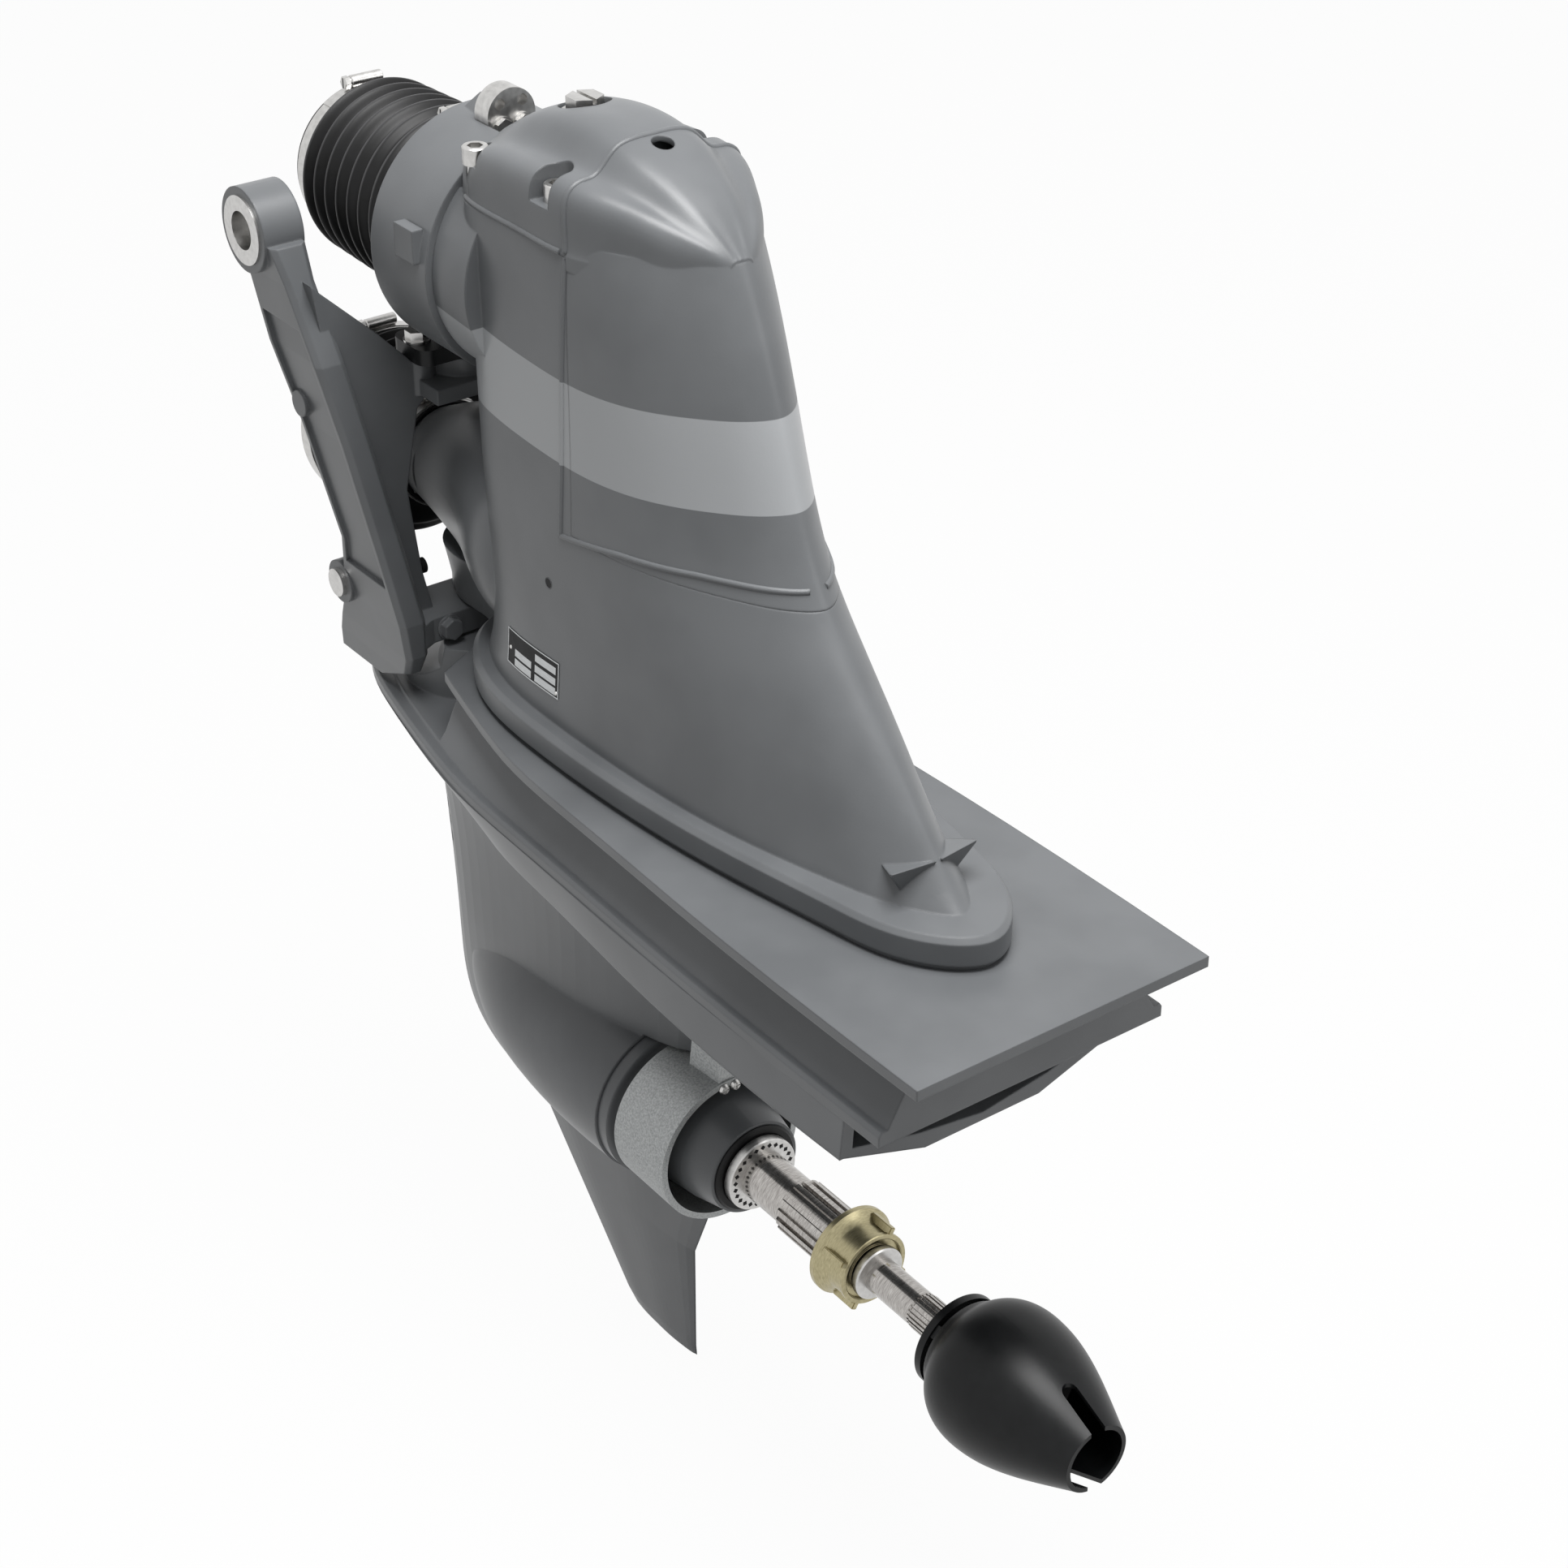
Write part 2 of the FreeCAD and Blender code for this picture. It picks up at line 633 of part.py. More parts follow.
trim_z = read("trim_pin_z")
arm = loft([arm_ring(*section) for section in arm_sections], True)
channel = loft([channel_ring(-62, 11, -58, 131.5), channel_ring(-87, 8, -66, 128), channel_ring(-150, -3,
                                                                                                -72, 114),
                channel_ring(-245, -16, -80, 96), channel_ring(-268, -8, -81.6, 91.8)], True)
arm = arm.cut(channel)
arm = join(arm, [rod((0, eye_inner, 0), (0, eye_outer, 0), read("eye_radius")),
                 rod((-15, 100, -133), (-15, 119, -133), 10),
                 rod((0, 66, trim_z), (0, 90, trim_z), 17)])
web_edge = [(124, -28), (116, -87), (103, -150), (85, -245), (75, -300), (66, -325)]
web_top = [(48, -104), (56, -95), (76, -74)]
web_front = steer + read("web_thickness") / 2
web_back = steer - read("web_thickness") / 2
web_line = web_top + web_edge
web = slab([(web_back, y, z) for y, z in web_line] + [(web_back, -y, z) for y, z in reversed(web_line)],
           (web_front - web_back, 0, 0))
window_line = [(36, -131), (46, -141), (59, -203), (51, -273), (44, -305), (0, -305)]
window = slab([(web_back - 1, y, z) for y, z in window_line] + [(web_back - 1, -y, z) for y, z in
                                                            reversed(window_line[:-1])],
              (web_front - web_back + 2, 0, 0))
upper_boss = rod((steer, 0, -131), (steer, 0, read("upper_boss_top")), read("upper_boss_radius"))
upper_rib = block((-85, web_front), (-44, 44), (-130, -118))
bolt_bosses = [rod((steer, side * 38, -131), (steer, side * 38, read("upper_boss_top")),
                   12) for side in (1, -1)]
bridge_top = read("lower_boss_top")
bridge_low = bridge_top - read("lower_boss_height")
bridge = slab([(-82, 68, bridge_low), (-75, 54, bridge_low), (-75, -54, bridge_low), (-82, -68, bridge_low),
               (-18, -68, bridge_low), (-26, -36, bridge_low), (-26, 36, bridge_low), (-18, 68, bridge_low)],
              (0, 0, bridge_top - bridge_low))
fork = join(arm, [arm.mirror(Vector(), Vector(0, 1, 0)), web.cut(window), upper_boss, upper_rib, bridge]
            + bolt_bosses)
pivot = read("pivot_radius")
bush = read("bush_wall")
foot_pin = read("foot_pin_radius")
clamp_y = 41
clamp_z = -315
fork_holes = [rod((0, -150, 0), (0, 150, 0), read("tilt_bush_radius")),
              rod((steer, 0, -131), (steer, 0, -100), pivot + gap + bush),
              rod((steer, 0, bridge_low - 1), (steer, 0, bridge_top + 1), foot_pin + gap + bush),
              rod((0, -150, trim_z), (0, 150, trim_z), 8), rod((-90, clamp_y, clamp_z), (-10, clamp_y,
                                                                                         clamp_z), 5)]
fork_holes += [rod((steer, side * 38, -128), (steer, side * 38, -100), 5) for side in (1, -1)]
fork_holes += [rod((steer, side * 46, -272), (steer, side * 56, -272), 3) for side in (1, -1)]
keep("suspension_fork", cast("suspension_fork", carve(fork, fork_holes)))

eye_width = read("eye_width")
tilt_bush = rod((0, 0, 0), (0, eye_width, 0), read("tilt_bush_radius"))
tilt_bush = tilt_bush.fuse(rod((0, eye_width, 0), (0, eye_width + 1.6, 0), 25))
tilt_bush = tilt_bush.cut(rod((0, -5, 0), (0, 50, 0), read("tilt_bore")))
group("tilt_bushes", tilt_bush, [at(0, eye_inner, 0), at(0, -eye_inner, 0, (1, 0, 0), 180)])
trim_head = read("trim_pin_radius")
trim_pin = rod((0, -28, 0), (0, 0, 0), 8).fuse(rod((0, 0, 0), (0, 4, 0), trim_head))
group("trim_pins", trim_pin, [at(0, 90, trim_z), at(0, -90, trim_z, (1, 0, 0), 180)])

flange_low = read("upper_boss_top")
cap = block((steer - 24, steer + 22), (-48, 48), (flange_low, flange_low + 12))
cap = cap.makeFillet(11, [edge for edge in cap.Edges if edge.BoundBox.ZLength > 11])
dome = Part.makeCone(21, 17, 8, Vector(steer, 0, flange_low + 12))
cap_holes = [rod((steer, side * 38, flange_low - 1), (steer, side * 38, flange_low + 20),
                 5) for side in (1, -1)]
cap = carve(cap.fuse(dome), cap_holes + [rod((steer, 0, flange_low - 1), (steer, 0, -80), pivot + 0.5)])
keep("upper_pivot_flange", cast("upper_pivot_flange", cap))
group("upper_pivot_bolts", hex_bolt(10, 34), [at(steer, side * 38, flange_low + 12) for side in (1, -1)])
upright = ((0, 1, 0), -90)
keep("upper_pivot_bush", place(tube("upper_pivot_bush", "upper_boss_top", "-131",
                                    "pivot_radius + running_gap",
                                    "pivot_radius + running_gap + bush_wall"), "steer_x", turn=upright))
keep("lower_pivot_bush", place(tube("lower_pivot_bush", "lower_boss_top",
                                    "lower_boss_top - lower_boss_height",
                                    "foot_pin_radius + running_gap",
                                    "foot_pin_radius + running_gap + bush_wall"), "steer_x", turn=upright))
keep("clamp_bolt", cast("clamp_bolt", placed(hex_bolt(10, 44), at(-75, clamp_y, clamp_z, (0, 1, 0), -90))))
nub = rod((0, 0, 0), (0, 4.4, 0), 6).fuse(rod((0, 4, 0), (0, 9.4, 0), 3))
group("stop_buffers", nub, [at(steer, 45, -272), at(steer, -45, -272, (1, 0, 0), 180)])

# Steering pivot pins held in the leg
keep("upper_pivot_pin", cylinder("upper_pivot_pin", "pivot_radius", 54, "steer_x", 0, -128))
keep("lower_pivot_pin", cylinder("lower_pivot_pin", "foot_pin_radius", 58, "steer_x", 0, -326))

# Input housing in front of the leg
housing = turned("input_housing_shell",
                 [("spigot_front", "spigot_radius - 8"), ("spigot_front", "spigot_radius"),
                  (-80, "spigot_radius"), (-80, "input_radius - 5"), (-85, "input_radius"),
                  ("input_split", "input_radius"), ("input_split", 45.8), (-172, 45.8), (-172, 36),
                  (-108, 36),
                  (-108, 31), (-98, 31), (-90, "spigot_radius - 8")])
doc.recompute()
lug = rod((steer, 0, -84), (steer, 0, -74.4), 18).fuse(block((-84, steer), (-18, 18), (-84, -74.4)))
crest = loft([polygon([(-88, 15, 84), (-88, -15, 84), (-150, -22, 84), (-150, 22, 84)]),
              polygon([(-100, 4, 99), (-100, -4, 99), (-112, -5, 99), (-112, 5, 99)])], True)
side_lug = block((-150, -126), (84, 93), (10, 34))
shell = join(housing.Shape, [lug, crest, side_lug]).cut(rod((steer, 0, -90), (steer, 0, -70), pivot))
shell = shell.cut(rod((-116, 0, 91), (-170, 0, 91), 19.2)).cut(rod((-40, 0, 0), (-90, 0, 0), 60))
keep("input_housing", cast("input_housing", shell))
actuator = rod((-116, 0, 91), (-133, 0, 91), 19)
actuator = carve(actuator, [rod((-134, y, 100), (-125, y, 100), 4) for y in (9, -9)])
keep("hydraulic_block", cast("hydraulic_block", actuator))
group("hydraulic_plugs", hexagon(12, 0, 5).fuse(Part.makeCylinder(7.5, 1.6)),
      [at(-133, y, 84, (0, 1, 0), -90) for y in (8, -8)])

# Bellows and their bands
def bellows(front_cuff, aft_cuff, ridges, wall):
    """Convoluted rubber tube about X from (station, radius) outer points."""
    outer_line = front_cuff + ridges + aft_cuff
    inner_line = [(x, radius - wall) for x, radius in reversed(outer_line)]
    profile = Part.Face(polygon([(x, 0, radius) for x, radius in outer_line + inner_line]))
    return profile.revolve(Vector(), Vector(1, 0, 0), 360)


def ridge_line(first, pitch, count, crest, root, crest_step=0, root_step=0):
    """Trapezoid folds running rearwards."""
    points = []
    for i in range(count):
        start = first - i * pitch
        high = crest + i * crest_step
        low = root + i * root_step
        points += [(start, low), (start - pitch * 0.28, high - 1.2), (start - pitch * 0.4, high),
                   (start - pitch * 0.52, high - 1.2), (start - pitch * 0.8, low)]
    return points


def band(front, inner, middle_z=0):
    """Clamp band with its worm screw box on top."""
    width = read("band_width")
    thick = read("band_thickness")
    strap = rod((front, 0, 0), (front - width, 0, 0), inner + thick).cut(
        rod((front + 1, 0, 0), (front - width - 1, 0, 0), inner))
    box = block((front - width + 1, front - 1), (-12, 12), (inner + 0.4, inner + 8))
    screw = rod((front - width / 2, 10, inner + 5), (front - width / 2, 19, inner + 5), 4)
    strap = join(strap, [box.cut(rod((front + 1, 0, 0), (front - width - 1, 0, 0), inner)), screw])
    return placed(strap, at(0, 0, middle_z))


rubber = read("bellows_wall")
joint_ridges = ridge_line(58, 16.4, 7, 67, 57, 0.5, 1.4)
joint_bellows = bellows([(read("bellows_front"), read("bellows_front_radius")), (60, 56.5)],
                        [(-56, 71.4), (-78, 71.4)], joint_ridges, rubber)
keep("ujoint_bellows", cast("ujoint_bellows", joint_bellows))
keep("bellows_clamp_front", cast("bellows_clamp_front", band(74, 56.8)))
keep("bellows_clamp_aft", cast("bellows_clamp_aft", band(-63.4, 71.7)))
exhaust_ridges = ridge_line(62, 13.6, 4, 75, 66)
exhaust_bellows = bellows([(80, 70), (66, 70)], [(4, 52), (-3, 41.6), (-17, 41.6)], exhaust_ridges, rubber)
keep("exhaust_bellows", cast("exhaust_bellows", placed(exhaust_bellows, at(0, 0, exhaust_z))))
keep("exhaust_clamp_front", cast("exhaust_clamp_front", band(79, 70.3, exhaust_z)))
keep("exhaust_clamp_aft", cast("exhaust_clamp_aft", band(-4, 41.9, exhaust_z)))

# Input shaft with its double universal joint
cross_front = read("cross_front")
yoke_radius = read("yoke_radius")
yoke_reach = read("yoke_reach")
trunnion = read("trunnion_radius")
ear_inner = yoke_radius - 9.5


def ears(center, base_side, across_y, closed=False):
    """Pair of yoke ears about a cross; base_side is +1 or -1 along X."""
    low, high = sorted((center - base_side * 12, center + base_side * yoke_reach))
    drum = rod((low, 0, 0), (high, 0, 0), yoke_radius)
    wide = (-60, 60)
    slot_pair = []
    for side in (1, -1):
        far = (ear_inner, 60) if side > 0 else (-60, -ear_inner)
        spans = (far, (-12, 12)) if across_y else ((-12, 12), far)
        slot_pair.append(drum.common(block((low, high), spans[0], spans[1])))
    if closed:
        return slot_pair
    ends = ((center, -40, 0), (center, 40, 0)) if across_y else ((center, 0, -40), (center, 0, 40))
    return [piece.cut(rod(ends[0], ends[1], trunnion)) for piece in slot_pair]


def cross(center, y_reach, z_reach):
    """Trunnion cross; a short pair of arms ends on a ball face."""
    hub = Part.makeSphere(12, Vector(center, 0, 0))
    side_arms = rod((center, -y_reach, 0), (center, y_reach, 0), trunnion)
    if y_reach < z_reach:
        side_arms = side_arms.common(Part.makeSphere(y_reach, Vector(center, 0, 0)))
    return join(hub, [side_arms, rod((center, 0, -z_reach), (center, 0, z_reach), trunnion)])


shaft_front = turned("input_stub", [("cross_front + yoke_reach", 0), ("cross_front + yoke_reach",
                                                                      "yoke_radius"),
                                    ("cross_front + yoke_reach + 8", "yoke_radius"),
                                    ("cross_front + yoke_reach + 16", 18), (92, 18), (93, 15.5), (117, 15.5),
                                    (119, 13.5), (119, "pilot_radius"), (128, "pilot_radius"),
                                    (129, "pilot_radius - 1"), (129, 0)])
grooves(shaft_front, [(-1.3, 17), (-0.9, 13.9), (0.9, 13.9), (1.3, 17)], 120, 26, 16)
doc.recompute()
keep("input_shaft", cast("input_shaft", join(shaft_front.Shape, ears(cross_front, 1, True))))
keep("front_cross", cast("front_cross", cross(cross_front, 28.5, 28.5)))
disc = rod((cross_front - yoke_reach, 0, 0), (steer + yoke_reach, 0, 0), yoke_radius)
keep("centre_yoke", cast("centre_yoke", join(disc, ears(cross_front, -1, False) + ears(steer, 1, False))))
keep("aft_cross", cast("aft_cross", cross(steer, ear_inner - 0.3, 28.5)))
drive = turned("drive_yoke_shaft", [("steer_x - yoke_reach", 0), ("steer_x - yoke_reach", "yoke_radius"),
                                    ("steer_x - yoke_reach - 9", "yoke_radius"), (-92, 20), (-106, 20),
                                    (-108, 17.95), (-182, 17.95), (-182, 0)])
doc.recompute()
keep("drive_yoke", cast("drive_yoke", join(drive.Shape, ears(steer, -1, True, True))))
keep("input_seal", tube("input_seal", -98.5, -106, 20.05, 31))
keep("input_bearing", tube("input_bearing", -112, -150, 18, 36, 1))


# Bevel gears: every tooth tapers towards the common apex
def bevel_gear(teeth, mate, bore, hub_radius, hub_length, phase):
    """Gear about +Z with its apex at the origin and its back away from it."""
    module = read("gear_module")
    face = read("face_width")
    cone = module * math.hypot(teeth, mate) / 2
    slope = math.atan2(teeth, mate)
    inner_scale = (cone - face) / cone
    rise = 0.8 * module
    depth = 1.05 * module
    half = math.pi * module / 4 * 0.84
    foot_half = half + depth * math.tan(math.radians(20))
    tip_half = half - rise * math.tan(math.radians(20))

    def spot(out, across, scale):
        """Point on the back cone; out is the height over the pitch cone."""
        radius = (cone * math.sin(slope) + out * math.cos(slope)) * scale
        height = (cone * math.cos(slope) - out * math.sin(slope)) * scale
        return radius, across * scale, height

    corners = [(-depth - 0.8, foot_half), (-depth, foot_half), (rise, tip_half), (rise, -tip_half),
               (-depth, -foot_half), (-depth - 0.8, -foot_half)]
    tooth = loft([polygon([spot(out, across, scale) for out, across in corners])
                  for scale in (1, inner_scale)], True)
    big = spot(-depth, 0, 1)
    small = spot(-depth, 0, inner_scale)
    back = big[2] + 5
    profile = [(bore, small[2] + 1), (small[0] - 2, small[2] + 1), (small[0], small[2]), (big[0], big[2]),
               (big[0] - 3, back), (hub_radius, back), (hub_radius, hub_length), (bore, hub_length)]
    blank = Part.Face(polygon([(radius, 0, height) for radius, height in profile]))
    blank = blank.revolve(Vector(), Vector(0, 0, 1), 360)
    teeth_cut = [placed(tooth, at(0, 0, 0, (0, 0, 1), phase + 360 * i / teeth)) for i in range(teeth)]
    return blank.fuse(teeth_cut)


def geared(node, shape, where):
    keep(node, cast(node, placed(shape, where)))


def bevel_at(x, z, turn, angle):
    return at(x, 0, z, turn, angle)


upper = int(read("upper_teeth"))
first = int(read("input_teeth"))
final = int(read("lower_pinion_teeth"))
last = int(read("prop_gear_teeth"))
shaft_r = read("shaft_radius")
forward = ((0, 1, 0), 90)
rearward = ((0, 1, 0), -90)
geared("input_pinion", bevel_gear(first, upper, 17.95, 24, 60, 0), bevel_at(shaft, 0, *forward))
half_step = 180 / upper
geared("upper_bevel_gear", bevel_gear(upper, first, shaft_r + gap, 22, 55, 0), bevel_at(shaft, 0, (0, 0,
                                                                                                   1), 0))
geared("lower_bevel_gear", bevel_gear(upper, first, shaft_r + gap, 22, 53, half_step),
       bevel_at(shaft, 0, (1, 0, 0), 180))
geared("lower_pinion", bevel_gear(final, last, shaft_r, 20, 62, 0), bevel_at(shaft, axis_z, (0, 0, 1), 0))
half_step = 180 / last
geared("inner_shaft_gear", bevel_gear(last, final, read("inner_shaft_radius"), 22, 53, half_step),
       bevel_at(shaft, axis_z, *forward))
geared("outer_shaft_gear", bevel_gear(last, final, read("outer_shaft_radius"), 26, 53, 0),
       bevel_at(shaft, axis_z, *rearward))

# Vertical shafts, clutch and coupling
keep("vertical_shaft_upper", cylinder("vertical_shaft_upper", "shaft_radius", 376, "shaft_x", 0, -308))
keep("vertical_shaft_lower", cylinder("vertical_shaft_lower", "shaft_radius", 291.5, "shaft_x", 0, -600))
keep("shaft_coupling", place(tube("shaft_coupling", -284, -336, "shaft_radius", "bore_radius - 1", 1),
                             "shaft_x", turn=upright))
keep("cone_clutch", place(turned("cone_clutch", [(11, "shaft_radius + running_gap"), (11, 18), (1.5, 21),
                                                 (1.5, 19.5), (-1.5, 19.5), (-1.5, 21), (-11, 18),
                                                 (-11, "shaft_radius + running_gap")]),
                          "shaft_x", turn=upright))
bearing_outer = "chamber_radius"
gear_bearing = place(tube("upper_gear_bearing", 55, 40, 22.05, bearing_outer, 1), "shaft_x", turn=upright)
keep("upper_gear_bearings", copies("upper_gear_bearings", gear_bearing, [at(0, 0, 0), at(0, 0, -94)]))
keep("vertical_shaft_bearing", place(tube("vertical_shaft_bearing", -56, "chamber_floor - 14",
                                          "shaft_radius + running_gap", 32, 1), "shaft_x", turn=upright))
keep("lower_pinion_bearing", place(tube("lower_pinion_bearing", -563, -576, "shaft_radius + running_gap",
                                        26, 1),
                                   "shaft_x", turn=upright))

# Propeller shafts and the pieces they carry
keep("inner_gear_bearing", place(tube("inner_gear_bearing", -165, -180, 22.05, "torpedo_bore", 1), 0, 0,
                                 "-prop_drop"))
keep("outer_gear_bearing", place(tube("outer_gear_bearing", -264, -281, 26.05, "torpedo_bore", 1), 0, 0,
                                 "-prop_drop"))
carrier = turned("bearing_carrier", [(-281.5, 27), (-281.5, "torpedo_bore"), ("torpedo_rear",
                                                                              "torpedo_bore"),
                                     ("torpedo_rear - 0.3", "torpedo_radius - 1"), (-304,
                                                                                    "torpedo_radius - 1"),
                                     (-306, 55.5), (-340, 49), ("anode_rear", 45),
                                     ("carrier_rear", "carrier_nose"), ("carrier_rear", 36),
                                     ("carrier_rear + 8", 36), ("carrier_rear + 8", 25), (-300, 25),
                                     (-300, 27)])
keep("bearing_carrier", place(carrier, 0, 0, "-prop_drop"))
keep("outer_shaft_bearing", place(tube("outer_shaft_bearing", -310, -390,
                                       "outer_shaft_radius + running_gap", 25),
                                  0, 0, "-prop_drop"))
keep("prop_seal", place(turned("prop_seal", [("carrier_rear + 7.5", "outer_shaft_radius + running_gap"),
                                             ("carrier_rear + 7.5", 36), ("carrier_rear - 1", 36),
                                             ("carrier_rear - 2.5", 34.5), ("carrier_rear - 2.5", 30.6),
                                             ("carrier_rear + 2", "outer_shaft_radius + running_gap")]),
                        0, 0, "-prop_drop"))
anode = rod((-312, 0, axis_z), (read("anode_rear"), 0, axis_z), read("anode_radius"))
pylon = loft([polygon([(-339, 12, -590), (-375, 9, -590), (-375, -9, -590), (-339, -12, -590)]),
              polygon([(-340, 9, -558), (-370, 7, -558), (-370, -7, -558), (-340, -9, -558)])], True)
anode = anode.fuse(pylon).cut(rod((-300, 0, axis_z), (-380, 0, axis_z), read("anode_radius - anode_wall")))
anode = carve(anode, [rod((-380, y, -584), (-365, y, -584), 2.6) for y in (5, -5)])
keep("anode_ring", cast("anode_ring", anode))
screw_head_low = Part.makeCone(4.4, 3.2, 2).fuse(Part.makeCylinder(2.5, 9, Vector(0, 0, -9)))
screw_head_low = screw_head_low.cut(block((-3, 3), (-0.5, 0.5), (1, 3))).cut(block((-0.5, 0.5), (-3, 3),
                                                                                   (1, 3)))

outer_shaft = turned("outer_prop_shaft", [(-250, "outer_shaft_bore"), (-250, "outer_shaft_radius"),
                                          ("outer_spline_front", "outer_shaft_radius"),
                                          ("outer_spline_front - 2", "outer_spline_radius"),
                                          ("nut_front", "outer_spline_radius"), ("nut_front", 19),
                                          ("nut_rear + 2", 19), ("nut_rear + 2", 17), ("nut_rear + 12", 17),
                                          ("nut_rear + 12", "outer_shaft_bore")])
grooves(outer_shaft, [(-2.3, "outer_spline_radius + 1"), (-1.6, "outer_spline_radius - 2.8"),
                      (1.6, "outer_spline_radius - 2.8"), (2.3, "outer_spline_radius + 1")],
        "outer_spline_front + 2", 62, "outer_spline_count")
keep("outer_prop_shaft", place(outer_shaft, 0, 0, "-prop_drop"))
keep("thrust_collar", place(tube("thrust_collar", "carrier_rear - 3.1", -416.5, "outer_shaft_radius",
                                 30.1, 1),
                            0, 0, "-prop_drop"))
nut = turned("ring_nut", [("nut_front", 19), ("nut_front", "nut_flange_radius - 1"),
                          ("nut_front - 1", "nut_flange_radius"), ("nut_front - 8", "nut_flange_radius"),
                          ("nut_front - 8", "nut_radius"), ("nut_rear", "nut_radius"), ("nut_rear", 19)])
grooves(nut, [(-4, "nut_radius + 1"), (-4, "nut_radius - 4"), (4, "nut_radius - 4"), (4, "nut_radius + 1")],
        "nut_front - 12", 30, 8)
keep("ring_nut", place(nut, 0, 0, "-prop_drop"))
keep("inner_seal", place(tube("inner_seal", "nut_rear + 11.5", "nut_rear + 0.5",
                              "inner_shaft_radius + running_gap", 17), 0, 0, "-prop_drop"))

inner_shaft = turned("inner_prop_shaft", [(-168, 0), (-168, "inner_shaft_radius - 2"),
                                          (-170, "inner_shaft_radius"),
                                          ("inner_spline_front", "inner_shaft_radius"),
                                          ("inner_spline_front - 1", "inner_spline_radius"),
                                          ("inner_shaft_rear", "inner_spline_radius"),
                                          ("inner_shaft_rear", 0)])
grooves(inner_shaft, [(-0.9, "inner_spline_radius + 1"), (-0.6, "inner_spline_radius - 1.4"),
                      (0.6, "inner_spline_radius - 1.4"), (0.9, "inner_spline_radius + 1")],
        "inner_spline_front + 2", 96, "inner_spline_count")
keep("inner_prop_shaft", place(inner_shaft, 0, 0, "-prop_drop"))
keep("inner_collar", place(tube("inner_collar", "nut_rear - 0.5", -556.1, "inner_shaft_radius", 20.9, 1),
                           0, 0, "-prop_drop"))
cone_rear = read("cone_rear")
cone_line = [(-651, 37), (-655, 39.5), (-665, 48), (-675, 53), (-690, 55.5), (-700, 55.2), (-710, 54),
             (-725, 50.5), (-740, 45.5), (-755, 39.5), (-770, 33), (cone_rear, 26)]
skin = Part.BSplineCurve()
skin.interpolate([Vector(x, 0, radius) for x, radius in cone_line])
cone_edges = [skin.toShape(), Part.LineSegment(Vector(cone_rear, 0, 26), Vector(cone_rear, 0, 0)).toShape(),
              Part.LineSegment(Vector(cone_rear, 0, 0), Vector(-651, 0, 0)).toShape(),
              Part.LineSegment(Vector(-651, 0, 0), Vector(-651, 0, 37)).toShape()]
cone_solid = Part.Face(Part.Wire(cone_edges)).revolve(Vector(), Vector(1, 0, 0), 360)
cone_wall = read("cone_wall")
inner_line = [(x, radius - cone_wall) for x, radius in cone_line if x < -702]
inner_line = [(-704, 44)] + inner_line + [(-790, 20)]
cavity = Part.Face(polygon([(x, 0, radius) for x, radius in inner_line] + [(-790, 0, 0), (-704, 0, 0)]))
cavity = cavity.revolve(Vector(), Vector(1, 0, 0), 360)
front_ring = rod((read("cone_front"), 0, 0), (-646, 0, 0), 36).cut(rod((-630, 0, 0), (-660, 0, 0), 29))
ring_lugs = [placed(block((-652, -645), (29.5, 34.5), (-5, 5)), at(0, 0, 0, (1, 0, 0), 45 + 90 * i))
             for i in range(4)]
tail_slots = [placed(join(rod((-758, 0, 10), (-758, 0, 60), 6), [block((-800, -758), (-6, 6), (10, 60))]),
                     at(0, 0, 0, (1, 0, 0), 180 * i)) for i in range(2)]
cone = carve(cone_solid.cut(cavity), [rod((-600, 0, 0), (-691, 0, 0), read("inner_spline_radius"))])
cone = carve(join(cone, ring_lugs + [front_ring]), tail_slots)
keep("prop_cone", cast("prop_cone", placed(cone, at(0, 0, axis_z))))
group("anode_screws", screw_head_low, [at(-375.4, y, -584, (0, 1, 0), -90) for y in (5, -5)])

doc.recompute()
faults = [item.Label for item in doc.Objects if "Invalid" in item.State or "Error" in item.State]
for node, thing in parts.items():
    if thing.Shape.isNull() or not thing.Shape.isValid() or not thing.Shape.Solids:
        faults.append(node)
if faults:
    raise RuntimeError("failed: " + ", ".join(faults))
os.makedirs("parts", exist_ok=True)
for node, thing in parts.items():
    thing.Shape.exportStep(os.path.join("parts", node + ".step"))
    print(node, len(thing.Shape.Solids), round(thing.Shape.Volume))
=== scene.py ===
import bpy
import bmesh
import math
from mathutils import Matrix, Vector
from mathutils.bvhtree import BVHTree


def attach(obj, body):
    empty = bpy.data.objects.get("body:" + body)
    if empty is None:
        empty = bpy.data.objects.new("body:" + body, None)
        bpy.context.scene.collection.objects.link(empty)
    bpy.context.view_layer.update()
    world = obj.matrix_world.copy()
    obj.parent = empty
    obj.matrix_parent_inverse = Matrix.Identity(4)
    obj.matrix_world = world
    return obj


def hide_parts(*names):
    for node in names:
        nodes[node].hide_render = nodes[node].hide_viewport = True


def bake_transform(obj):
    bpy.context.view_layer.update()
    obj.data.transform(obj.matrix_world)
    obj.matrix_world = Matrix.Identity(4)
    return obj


# Sterndrive for two coaxial propellers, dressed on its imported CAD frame.
# Metres, +X forward to the transom, +Y to port, +Z up, origin on the tilt axis.

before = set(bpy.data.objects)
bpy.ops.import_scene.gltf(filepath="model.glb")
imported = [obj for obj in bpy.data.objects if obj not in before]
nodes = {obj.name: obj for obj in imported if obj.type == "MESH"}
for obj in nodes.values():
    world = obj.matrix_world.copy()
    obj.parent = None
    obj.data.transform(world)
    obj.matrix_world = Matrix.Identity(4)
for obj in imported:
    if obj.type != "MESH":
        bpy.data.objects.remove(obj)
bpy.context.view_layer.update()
mm = 0.001
shaftAxis = -640 * mm
print("frame loaded:", len(nodes), "nodes")


